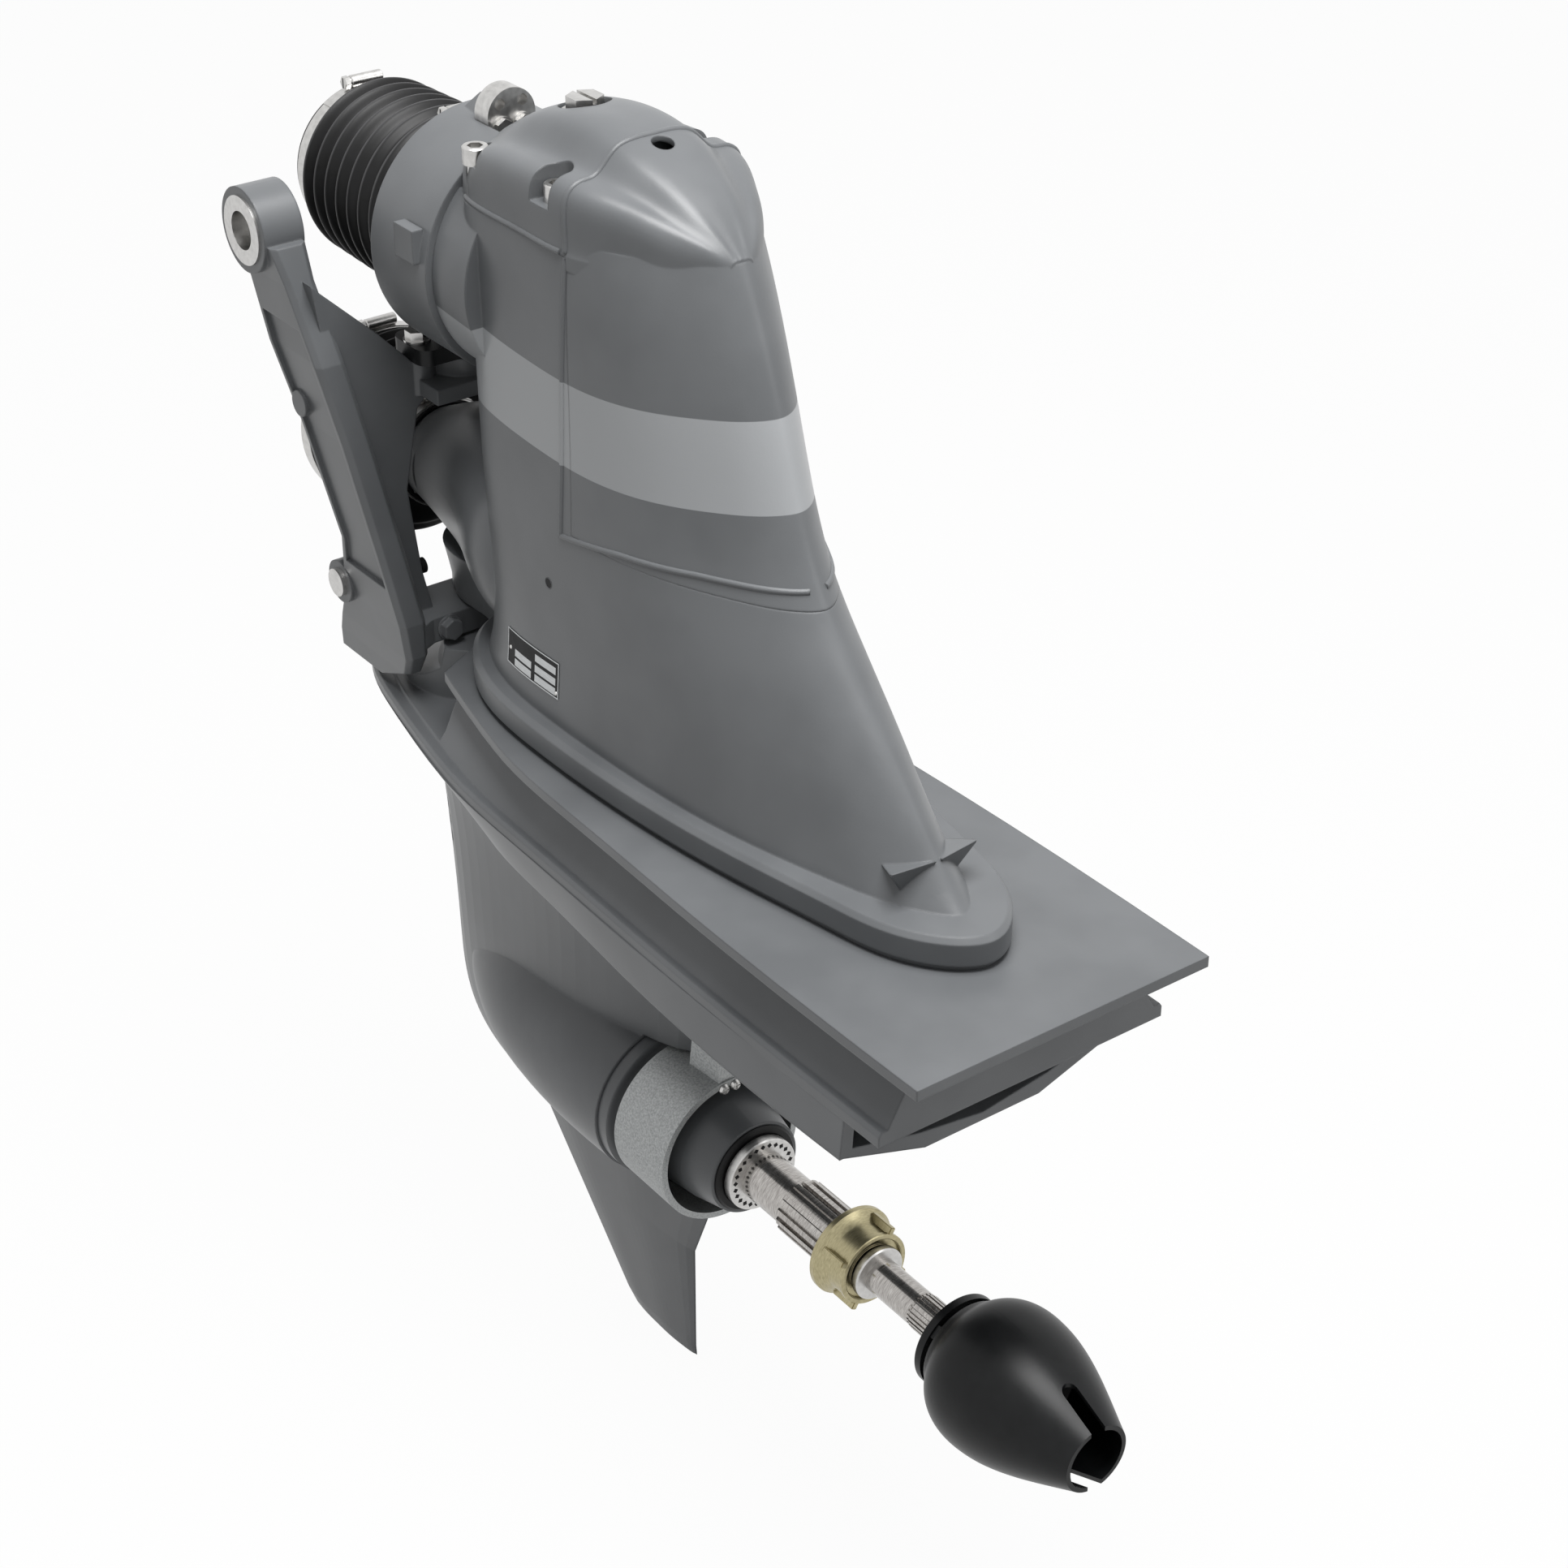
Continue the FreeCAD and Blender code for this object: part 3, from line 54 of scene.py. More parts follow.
def linear(hexColor):
    # sRGB hex to the linear values a shader wants
    parts = [int(hexColor[i:i + 2], 16) / 255 for i in (1, 3, 5)]
    return tuple(c / 12.92 if c <= 0.04045 else ((c + 0.055) / 1.055) ** 2.4 for c in parts) + (1.0,)


def addNode(tree, kind, links=None, stops=None, **settings):
    # one node with its settings, its socket values or incoming links, and a ramp's colours
    node = tree.nodes.new(kind)
    for name, value in settings.items():
        setattr(node, name, value)
    for socket, source in (links or {}).items():
        if isinstance(source, bpy.types.NodeSocket):
            tree.links.new(source, node.inputs[socket])
        else:
            node.inputs[socket].default_value = source
    for element, (place, color) in zip(node.color_ramp.elements if stops else (), stops or ()):
        element.position = place
        element.color = linear(color)
    return node


def newMaterial(name, color, metallic, roughness, extra=None):
    material = bpy.data.materials.new(name)
    material.use_nodes = True
    shader = material.node_tree.nodes["Principled BSDF"]
    shader.inputs["Base Color"].default_value = linear(color)
    shader.inputs["Metallic"].default_value = metallic
    shader.inputs["Roughness"].default_value = roughness
    for socket, value in (extra or {}).items():
        shader.inputs[socket].default_value = value
    return material, material.node_tree, shader


# Satin two-pack enamel sprayed on die-cast aluminium: fine orange peel, edges of the casting rounded
# to about two millimetres, a slow drift of tone across the panels.
enamel = {"color": "#5b5d5f", "light": "#5f6163", "dark": "#57595b", "drift": 80 * mm,
          "peel": 1.5 * mm, "peelDepth": 0.05 * mm, "edge": 2.2 * mm, "roughness": 0.38,
          "gloss": {"Coat Weight": 0.07, "Coat Roughness": 0.28, "Specular IOR Level": 0.38}}


def enamelMaterial(name):
    material, tree, shader = newMaterial(name, enamel["color"], 0.0, enamel["roughness"],
                                         enamel["gloss"])
    where = addNode(tree, "ShaderNodeTexCoord")
    drift = addNode(tree, "ShaderNodeTexNoise", {"Vector": where.outputs["Object"],
                                                 "Scale": 1 / enamel["drift"], "Detail": 3.0})
    tone = addNode(tree, "ShaderNodeValToRGB", {"Fac": drift.outputs["Fac"]},
                   stops=[(0.35, enamel["dark"]), (0.65, enamel["light"])])
    tree.links.new(tone.outputs["Color"], shader.inputs["Base Color"])
    peel = addNode(tree, "ShaderNodeTexNoise", {"Vector": where.outputs["Object"],
                                                "Scale": 1 / enamel["peel"], "Detail": 2.0})
    edges = addNode(tree, "ShaderNodeBevel", {"Radius": enamel["edge"]}, samples=4)
    bump = addNode(tree, "ShaderNodeBump", {"Height": peel.outputs["Fac"], "Strength": 0.7,
                                            "Distance": enamel["peelDepth"],
                                            "Normal": edges.outputs["Normal"]})
    tree.links.new(bump.outputs["Normal"], shader.inputs["Normal"])
    return material, tree, shader, tone.outputs["Color"], where.outputs["Object"]


castEnamel = enamelMaterial("sprayed satin enamel on die-cast aluminium")[0]

# The same enamel under a bare silver vinyl foil, wrapped round gearcase and cowl: brighter,
# a little glossier, with a crisp edge that dips in the middle of each side.
band = {"top": -28 * mm, "bottom": -89 * mm, "rise": 9 * mm, "middle": -310 * mm, "reach": 145 * mm,
        "edge": 0.5 * mm, "foil": "#919395", "foilRoughness": 0.3}
bandedEnamel, tree, shader, paint, where = enamelMaterial("satin enamel with silver vinyl foil band")
axes = addNode(tree, "ShaderNodeSeparateXYZ", {"Vector": where})
offset = addNode(tree, "ShaderNodeMath", {0: axes.outputs["X"], 1: band["middle"]}, operation="SUBTRACT")
along = addNode(tree, "ShaderNodeMath", {0: offset.outputs[0], 1: band["reach"]}, operation="DIVIDE")
square = addNode(tree, "ShaderNodeMath", {0: along.outputs[0], 1: 2.0}, operation="POWER")
lift = addNode(tree, "ShaderNodeMath", {0: square.outputs[0], 1: band["rise"]}, operation="MULTIPLY")
level = addNode(tree, "ShaderNodeMath", {0: axes.outputs["Z"], 1: lift.outputs[0]}, operation="SUBTRACT")
under = addNode(tree, "ShaderNodeMapRange", {"Value": level.outputs[0], "From Min": band["top"],
                                             "From Max": band["top"] - band["edge"]})
over = addNode(tree, "ShaderNodeMapRange", {"Value": level.outputs[0], "From Min": band["bottom"],
                                            "From Max": band["bottom"] + band["edge"]})
inBand = addNode(tree, "ShaderNodeMath", {0: under.outputs[0], 1: over.outputs[0]}, operation="MULTIPLY")
mixed = addNode(tree, "ShaderNodeMix", {"Factor": inBand.outputs[0], 6: paint, 7: linear(band["foil"])},
                data_type="RGBA")
tree.links.new(mixed.outputs[2], shader.inputs["Base Color"])
gloss = addNode(tree, "ShaderNodeMapRange", {"Value": inBand.outputs[0], "To Min": enamel["roughness"],
                                             "To Max": band["foilRoughness"]})
tree.links.new(gloss.outputs["Result"], shader.inputs["Roughness"])

# Metals: each is a bright ground with the marks of how it was cut or cast.
metals = {
    # ground and polished stainless of the propeller shafts: bright, with fine rings round the axis
    "ground stainless shaft steel": {"dark": "#8d8986", "light": "#c2bfbb", "roughness": 0.17,
                                     "grain": 2.2 * mm, "stretch": (3.0, 0.35, 0.35),
                                     "depth": 0.01 * mm},
    # hardened and phosphated gear steel: dark grey, oily satin
    "hardened gear steel": {"dark": "#6f6f70", "light": "#9d9d9e", "roughness": 0.32,
                            "grain": 3 * mm, "stretch": (1, 1, 1), "depth": 0.02 * mm},
    # cold-rolled stainless strip and turned stainless screws: clean and bright
    "rolled stainless strip": {"dark": "#bab9b7", "light": "#cecdcb", "roughness": 0.3,
                               "grain": 4 * mm, "stretch": (1, 1, 1), "depth": 0.004 * mm},
    # turned aluminium bronze: warm straw colour, satin lathe marks
    "turned aluminium bronze": {"dark": "#989071", "light": "#b8af8d", "roughness": 0.32,
                                "grain": 1.6 * mm, "stretch": (3.0, 0.4, 0.4), "depth": 0.02 * mm},
    # sand-cast zinc of the anode: dull light grey with a coarse, pitted skin
    "sand-cast zinc anode": {"dark": "#8b8d8d", "light": "#b0b2b2", "roughness": 0.58,
                             "grain": 1.5 * mm, "stretch": (1, 1, 1), "depth": 0.12 * mm},
}
made = {}
for name, metal in metals.items():
    material, tree, shader = newMaterial(name, metal["light"], 1.0, metal["roughness"])
    where = addNode(tree, "ShaderNodeTexCoord")
    lay = addNode(tree, "ShaderNodeMapping", {"Vector": where.outputs["Object"],
                                              "Scale": metal["stretch"]})
    grain = addNode(tree, "ShaderNodeTexNoise", {"Vector": lay.outputs["Vector"],
                                                 "Scale": 1 / metal["grain"], "Detail": 4.0})
    tone = addNode(tree, "ShaderNodeValToRGB", {"Fac": grain.outputs["Fac"]},
                   stops=[(0.3, metal["dark"]), (0.7, metal["light"])])
    tree.links.new(tone.outputs["Color"], shader.inputs["Base Color"])
    gloss = addNode(tree, "ShaderNodeMapRange", {"Value": grain.outputs["Fac"],
                                                 "To Min": metal["roughness"] - 0.06,
                                                 "To Max": metal["roughness"] + 0.08})
    tree.links.new(gloss.outputs["Result"], shader.inputs["Roughness"])
    bump = addNode(tree, "ShaderNodeBump", {"Height": grain.outputs["Fac"], "Strength": 0.5,
                                            "Distance": metal["depth"]})
    tree.links.new(bump.outputs["Normal"], shader.inputs["Normal"])
    made[name] = material
shaftSteel, gearSteel, stripSteel, turnedBronze, castAnode = made.values()

# Dark finishes: neoprene and moulded nylon have a very fine grain, the pivot flange is black
# electro-coated.
darks = {
    # moulded neoprene: near black, satin, the folds' crests lightened by a painted highlight
    "moulded neoprene rubber": {"color": "#0c0c0c", "light": "#131314", "roughness": 0.45,
                                "grain": 0.8 * mm, "depth": 0.03 * mm},
    # injection-moulded glass-filled nylon: deep black, satin
    "moulded black nylon": {"color": "#0e0f10", "light": "#141516", "roughness": 0.36,
                            "grain": 0.7 * mm, "depth": 0.02 * mm},
    # black electro-coated steel: even, faintly glossy
    "black electro-coated steel": {"color": "#18191a", "light": "#1f2021", "roughness": 0.36,
                                   "grain": 1.2 * mm, "depth": 0.02 * mm},
    # near-black painted shade for the unpainted, unlit insides of holes and slots; also the real black
    # ground of the rating plate
    "painted hole shade and black plate ground": {"color": "#0c0c0d", "light": "#161617", "roughness": 0.6,
                             "grain": 1.5 * mm, "depth": 0.02 * mm},
}
darkGloss = {"Specular IOR Level": 0.22}
# scale of the random tone drift of all dark finishes, and the colour and threshold of the painted highlight
# on the bellows' fold crests
bloomAndCrestHighlight = {"color": "#3c3c3d", "from": 0.93, "bloom": 12 * mm}
made = {}
for name, dark in darks.items():
    material, tree, shader = newMaterial(name, dark["color"], 0.0, dark["roughness"], darkGloss)
    where = addNode(tree, "ShaderNodeTexCoord")
    bloom = addNode(tree, "ShaderNodeTexNoise", {"Vector": where.outputs["Object"],
                                                 "Scale": 1 / bloomAndCrestHighlight["bloom"]})
    tone = addNode(tree, "ShaderNodeValToRGB", {"Fac": bloom.outputs["Fac"]},
                   stops=[(0.3, dark["color"]), (0.7, dark["light"])])
    tree.links.new(tone.outputs["Color"], shader.inputs["Base Color"])
    grain = addNode(tree, "ShaderNodeTexNoise", {"Vector": where.outputs["Object"],
                                                 "Scale": 1 / dark["grain"]})
    bump = addNode(tree, "ShaderNodeBump", {"Height": grain.outputs["Fac"], "Strength": 0.5,
                                            "Distance": dark["depth"]})
    tree.links.new(bump.outputs["Normal"], shader.inputs["Normal"])
    made[name] = material
    # painted highlight: the outer crests of the bellows' folds are mixed towards a lighter grey
    if name == "moulded neoprene rubber":
        crestValue = addNode(tree, "ShaderNodeAttribute", attribute_name="crest")
        edge = addNode(tree, "ShaderNodeMapRange", {"Value": crestValue.outputs["Fac"],
                                                    "From Min": bloomAndCrestHighlight["from"]})
        paintedCrestHighlight = addNode(tree, "ShaderNodeMix", {"Factor": edge.outputs[0], 6: tone.outputs["Color"],
                                               7: linear(bloomAndCrestHighlight["color"])}, data_type="RGBA")
        tree.links.new(paintedCrestHighlight.outputs[2], shader.inputs["Base Color"])
rubber, nylon, blackCoat, holeShadeAndBlackPlate = made.values()

# Pale anodised aluminium of the blank rating plate's fields and rim: flat, faintly brushed along
# its length
plateMetal, tree, shader = newMaterial("anodised aluminium plate", "#b4b6b7", 1.0, 0.38)
where = addNode(tree, "ShaderNodeTexCoord")
lay = addNode(tree, "ShaderNodeMapping", {"Vector": where.outputs["Object"], "Scale": (0.1, 1, 2)})
brush = addNode(tree, "ShaderNodeTexNoise", {"Vector": lay.outputs["Vector"], "Scale": 1 / (0.8 * mm)})
tone = addNode(tree, "ShaderNodeValToRGB", {"Fac": brush.outputs["Fac"]},
               stops=[(0.3, "#a8aaab"), (0.7, "#bfc1c2")])
tree.links.new(tone.outputs["Color"], shader.inputs["Base Color"])
print("materials made")

finishes = {
    castEnamel: ["suspension_fork", "top_cover", "lower_gear_housing", "bearing_carrier", "input_housing",
                 "clamp_bolt"],
    bandedEnamel: ["leg_casing", "rear_cowl"],
    blackCoat: ["upper_pivot_flange"],
    rubber: ["ujoint_bellows", "exhaust_bellows", "stop_buffers", "prop_seal", "inner_seal",
             "input_seal"],
    nylon: ["prop_cone"],
    turnedBronze: ["ring_nut", "upper_pivot_bush", "lower_pivot_bush"],
    castAnode: ["anode_ring"],
    stripSteel: ["bellows_clamp_front", "bellows_clamp_aft", "exhaust_clamp_front",
                 "exhaust_clamp_aft", "cover_screws", "filler_plug", "hydraulic_plugs",
                 "hydraulic_block", "anode_screws", "upper_pivot_bolts", "trim_pins",
                 "tilt_bushes", "thrust_collar", "inner_collar"],
    shaftSteel: ["outer_prop_shaft", "inner_prop_shaft", "input_shaft", "upper_pivot_pin",
                 "lower_pivot_pin"],
}
dressed = {name: material for material, names in finishes.items() for name in names}
for name, node in nodes.items():
    node.data.materials.clear()
    node.data.materials.append(dressed.get(name, gearSteel))
print("frame nodes finished")


def newPiece(name, mesh, body=None, material=None, smooth=True):
    piece = bpy.data.objects.new(name, mesh)
    bpy.context.scene.collection.objects.link(piece)
    if material:
        mesh.materials.append(material)
    if smooth:
        mesh.polygons.foreach_set("use_smooth", [True] * len(mesh.polygons))
        mesh.set_sharp_from_angle(angle=math.radians(32))
    if body:
        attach(piece, body)
    return piece


def meshFrom(name, bm):
    bmesh.ops.remove_doubles(bm, verts=bm.verts, dist=1e-6)
    bmesh.ops.recalc_face_normals(bm, faces=bm.faces)
    mesh = bpy.data.meshes.new(name)
    bm.to_mesh(mesh)
    bm.free()
    return mesh


def spin(bm, profile, origin, axis, steps=96):
    # closed ring or solid from (along, radius) points turned round an axis
    turn = Vector(axis).to_track_quat("Z", "X").to_matrix()
    rings = []
    for step in range(steps):
        angle = 2 * math.pi * (step + 0.5) / steps
        x, y = math.cos(angle), math.sin(angle)
        rings.append([bm.verts.new(Vector(origin) + turn @ Vector((r * x, r * y, a)))
                      for a, r in profile])
    for step, ring in enumerate(rings):
        after = rings[(step + 1) % steps]
        for i in range(len(profile)):
            j = (i + 1) % len(profile)
            if profile[i][1] > 0 or profile[j][1] > 0:
                corners = [ring[i], ring[j], after[j], after[i]]
                if profile[j][1] == 0:
                    corners = [ring[i], ring[j], after[i]]
                elif profile[i][1] == 0:
                    corners = [ring[i], ring[j], after[j]]
                bm.faces.new(corners)


def newTree(name, sizes):
    # an empty Geometry Nodes tree with one named input for each size
    tree = bpy.data.node_groups.new(name, "GeometryNodeTree")
    tree.interface.new_socket("Geometry", in_out="OUTPUT", socket_type="NodeSocketGeometry")
    for label, value in sizes.items():
        kind = "NodeSocketInt" if isinstance(value, int) else "NodeSocketFloat"
        tree.interface.new_socket(label, in_out="INPUT", socket_type=kind)
    return tree, addNode(tree, "NodeGroupInput").outputs


def settle(host):
    # the evaluated result of a helper object as a plain mesh; the helper goes
    bpy.context.view_layer.update()
    grown = host.evaluated_get(bpy.context.evaluated_depsgraph_get())
    mesh = bpy.data.meshes.new_from_object(grown)
    bpy.data.objects.remove(host)
    return mesh


def growMesh(name, tree, sizes):
    host = bpy.data.objects.new(name + "Host", bpy.data.meshes.new(name + "Host"))
    bpy.context.scene.collection.objects.link(host)
    modifier = host.modifiers.new(name, "NODES")
    modifier.node_group = tree
    for item in tree.interface.items_tree:
        if item.in_out == "INPUT":
            modifier[item.identifier] = sizes[item.name]
    mesh = settle(host)
    mesh.name = name
    return mesh


# Bellows: a rubber tube whose radius follows a cosine along its folds, with a plain cuff at each end.
jointBellows = {"Around": 129, "Rows": 601, "Aft end": -78 * mm, "Front end": 78 * mm, "Folds": 7,
                "Fold aft": -56.8 * mm, "Fold front": 58.0 * mm, "Root aft": 65.4 * mm,
                "Root front": 57.2 * mm, "Crest aft": 69.8 * mm, "Crest front": 66.8 * mm,
                "Cuff aft": 71.4 * mm, "Cuff front": 56.5 * mm, "Shoulder aft": 5.0 * mm,
                "Shoulder front": 4.0 * mm, "Wall": 3.0 * mm, "Height": 0.0}
exhaustBellows = {"Around": 129, "Rows": 421, "Aft end": -17 * mm, "Front end": 80 * mm, "Folds": 4,
                  "Fold aft": 8.4 * mm, "Fold front": 62.6 * mm, "Root aft": 66.5 * mm,
                  "Root front": 66.5 * mm, "Crest aft": 74.8 * mm, "Crest front": 74.8 * mm,
                  "Cuff aft": 41.6 * mm, "Cuff front": 70 * mm, "Shoulder aft": 11.0 * mm,
                  "Shoulder front": 4.0 * mm, "Wall": 3.0 * mm, "Height": -205 * mm}
tree, size = newTree("folded rubber tube", jointBellows)
sheet = addNode(tree, "GeometryNodeMeshGrid", {"Size X": 1.0, "Size Y": 1.0, "Vertices X": size["Around"],
                                               "Vertices Y": size["Rows"]})
place = addNode(tree, "ShaderNodeSeparateXYZ", {0: addNode(tree, "GeometryNodeInputPosition").outputs[0]})
turn = addNode(tree, "ShaderNodeMath", {0: place.outputs["X"], 1: 2 * math.pi}, operation="MULTIPLY")
# rows run along the outside to the front end and back along the inside
run = addNode(tree, "ShaderNodeMath", {0: place.outputs["Y"], 1: 2.0}, operation="MULTIPLY")
away = addNode(tree, "ShaderNodeMath", {0: run.outputs[0]}, operation="ABSOLUTE")
along = addNode(tree, "ShaderNodeMapRange", {"Value": away.outputs[0], "From Min": 1.0, "From Max": 0.0,
                                             "To Min": size["Aft end"], "To Max": size["Front end"]})
# the rows at both ends of the outside lie at the inner radius, which closes the ends
outFrom = addNode(tree, "ShaderNodeMath", {0: place.outputs["Y"], 1: -0.499}, operation="GREATER_THAN")
outTo = addNode(tree, "ShaderNodeMath", {0: place.outputs["Y"], 1: -0.001}, operation="LESS_THAN")
outside = addNode(tree, "ShaderNodeMath", {0: outFrom.outputs[0], 1: outTo.outputs[0]}, operation="MULTIPLY")
share = addNode(tree, "ShaderNodeMapRange", {"Value": along.outputs[0], "From Min": size["Fold aft"],
                                             "From Max": size["Fold front"]})
count = addNode(tree, "ShaderNodeMath", {0: share.outputs[0], 1: size["Folds"]}, operation="MULTIPLY")
phase = addNode(tree, "ShaderNodeMath", {0: count.outputs[0], 1: 2 * math.pi}, operation="MULTIPLY")
wave = addNode(tree, "ShaderNodeMath", {0: phase.outputs[0]}, operation="COSINE")
fold = addNode(tree, "ShaderNodeMath", {0: wave.outputs[0], 1: -0.5, 2: 0.5}, operation="MULTIPLY_ADD")
root = addNode(tree, "ShaderNodeMapRange", {"Value": share.outputs[0], "To Min": size["Root aft"],
                                            "To Max": size["Root front"]})
crest = addNode(tree, "ShaderNodeMapRange", {"Value": share.outputs[0], "To Min": size["Crest aft"],
                                             "To Max": size["Crest front"]})
folded = addNode(tree, "ShaderNodeMapRange", {"Value": fold.outputs[0], "To Min": root.outputs[0],
                                              "To Max": crest.outputs[0]})
# a smooth shoulder leads from each cuff into the folds
shoulderAft = addNode(tree, "ShaderNodeMath", {0: size["Fold aft"], 1: size["Shoulder aft"]},
                      operation="SUBTRACT")
fromCuff = addNode(tree, "ShaderNodeMapRange", {"Value": along.outputs[0],
                                                "From Min": shoulderAft.outputs[0],
                                                "From Max": size["Fold aft"],
                                                "To Min": size["Cuff aft"],
                                                "To Max": folded.outputs[0]},
                   interpolation_type="SMOOTHSTEP")
shoulderFront = addNode(tree, "ShaderNodeMath", {0: size["Fold front"], 1: size["Shoulder front"]},
                        operation="ADD")
toCuff = addNode(tree, "ShaderNodeMapRange", {"Value": along.outputs[0],
                                              "From Min": size["Fold front"],
                                              "From Max": shoulderFront.outputs[0],
                                              "To Min": fromCuff.outputs[0],
                                              "To Max": size["Cuff front"]},
                 interpolation_type="SMOOTHSTEP")
thickness = addNode(tree, "ShaderNodeMapRange", {"Value": outside.outputs[0],
                                                 "To Min": size["Wall"], "To Max": 0.0})
radius = addNode(tree, "ShaderNodeMath", {0: toCuff.outputs[0], 1: thickness.outputs[0]},
                 operation="SUBTRACT")
sine = addNode(tree, "ShaderNodeMath", {0: turn.outputs[0]}, operation="SINE")
cosine = addNode(tree, "ShaderNodeMath", {0: turn.outputs[0]}, operation="COSINE")
across = addNode(tree, "ShaderNodeMath", {0: radius.outputs[0], 1: sine.outputs[0]},
                 operation="MULTIPLY")
upward = addNode(tree, "ShaderNodeMath", {0: radius.outputs[0], 1: cosine.outputs[0], 2: size["Height"]},
                 operation="MULTIPLY_ADD")
wall = addNode(tree, "ShaderNodeCombineXYZ", {"X": along.outputs[0], "Y": across.outputs[0],
                                              "Z": upward.outputs[0]})
# mask of the outer fold crests, where the neoprene's material paints a highlight
paintedCrestHighlight = addNode(tree, "ShaderNodeMath", {0: fold.outputs[0], 1: outside.outputs[0]}, operation="MULTIPLY")
marked = addNode(tree, "GeometryNodeStoreNamedAttribute", {"Geometry": sheet.outputs["Mesh"],
                                                           "Name": "crest",
                                                           "Value": paintedCrestHighlight.outputs[0]},
                 domain="POINT")
shaped = addNode(tree, "GeometryNodeSetPosition", {"Geometry": marked.outputs[0],
                                                   "Position": wall.outputs[0]})
closed = addNode(tree, "GeometryNodeMergeByDistance", {"Geometry": shaped.outputs[0],
                                                       "Distance": 0.01 * mm})
plain = addNode(tree, "GeometryNodeRealizeInstances", {"Geometry": closed.outputs[0]})
painted = addNode(tree, "GeometryNodeSetMaterial", {"Geometry": plain.outputs[0], "Material": rubber})
addNode(tree, "NodeGroupOutput", {"Geometry": painted.outputs[0]})
for name, node, sizes in (("jointBellowsFolds", "ujoint_bellows", jointBellows),
                          ("exhaustBellowsFolds", "exhaust_bellows", exhaustBellows)):
    bm = bmesh.new()
    bm.from_mesh(growMesh(name, tree, sizes))
    bmesh.ops.recalc_face_normals(bm, faces=bm.faces)
    mesh = bpy.data.meshes.new(name)
    bm.to_mesh(mesh)
    bm.free()
    mesh.materials.append(rubber)
    piece = newPiece(name, mesh, smooth=False)
    mesh.polygons.foreach_set("use_smooth", [True] * len(mesh.polygons))
    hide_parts(node)
    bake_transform(piece)
print("bellows folded")

# Worm-drive hose bands: rolled strap with an overlapping tail, a barrel for the worm, and its
# slotted hex screw to port. Each band has its front edge, inner radius, height and body.
hoseBand = {"width": 12 * mm, "strap": 1.5 * mm, "soft": 0.5 * mm, "tail": 0.8 * mm,
            "tailTurn": 34, "tailSteps": 24, "barrel": 4.6 * mm, "barrelHalf": 13 * mm,
            "sunk": 1.2 * mm, "collar": 3.4 * mm, "screwHead": 5.0 * mm, "screwReach": 18.6 * mm,
            "slot": (1.3 * mm, 0.2 * mm, 7.6 * mm)}
bands = {"bellows_clamp_front": (74, 56.75, 0, "fork"),
         "bellows_clamp_aft": (-63.4, 71.65, 0, "leg"),
         "exhaust_clamp_front": (79, 70.25, -205, "fork"),
         "exhaust_clamp_aft": (-4, 41.85, -205, "leg")}
for node, (front, inner, height, body) in bands.items():
    front, inner, height = front * mm, inner * mm, height * mm
    middle = front - hoseBand["width"] / 2
    half = hoseBand["width"] / 2
    outer = inner + hoseBand["strap"]
    soft, tailSteps = hoseBand["soft"], hoseBand["tailSteps"]
    bm = bmesh.new()
    spin(bm, [(-half, inner), (half, inner), (half, outer - soft), (half - soft, outer),
              (soft - half, outer), (-half, outer - soft)], (middle, 0, height), (1, 0, 0), 128)
    tail = []
    for step in range(tailSteps + 1):
        angle = math.radians(90 - hoseBand["tailTurn"] + step * hoseBand["tailTurn"] * 2 / tailSteps)
        ring = []
        for x, r in ((-half + soft, outer - 0.1 * mm), (half - soft, outer - 0.1 * mm),
                     (half - soft, outer + hoseBand["tail"]), (-half + soft, outer + hoseBand["tail"])):
            ring.append(bm.verts.new((middle + x, r * math.cos(angle), height + r * math.sin(angle))))
        tail.append(ring)
    for before, after in zip(tail, tail[1:]):
        for i in range(4):
            bm.faces.new([before[i], before[(i + 1) % 4], after[(i + 1) % 4], after[i]])
    bm.faces.new(tail[0])
    bm.faces.new(reversed(tail[-1]))
    lie = outer + hoseBand["tail"] + hoseBand["barrel"] - hoseBand["sunk"]
    reach, barrel, collar = hoseBand["barrelHalf"], hoseBand["barrel"], hoseBand["collar"]
    head, top = hoseBand["screwHead"], hoseBand["screwReach"]
    worm = (middle, 0, height + lie)
    spin(bm, [(-reach, 0), (-reach, barrel - 0.8 * mm), (0.8 * mm - reach, barrel),
              (reach - 0.8 * mm, barrel), (reach, barrel - 0.8 * mm), (reach, 0)], worm, (0, 1, 0), 40)
    spin(bm, [(reach - 0.2 * mm, 0), (reach - 0.2 * mm, collar), (reach + 1.4 * mm, collar),
              (reach + 1.4 * mm, 0)], worm, (0, 1, 0), 32)
    spin(bm, [(reach + 1.2 * mm, 0), (reach + 1.2 * mm, head), (top - 0.7 * mm, head),
              (top, head - 0.8 * mm), (top, 0)], worm, (0, 1, 0), 6)
    piece = newPiece(node + "_band", meshFrom(node + "_band", bm), body, stripSteel)
    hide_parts(node)
    # the screw's slot is a near-black box, painted shade of the slot's inside
    bm = bmesh.new()
    bmesh.ops.create_cube(bm, size=1.0, matrix=Matrix.Translation((middle, top, height + lie))
                          @ Matrix.Diagonal((*hoseBand["slot"], 1)))
    newPiece(node + "_slot", meshFrom(node + "_slot", bm), body, holeShadeAndBlackPlate, smooth=False)
print("hose bands made")

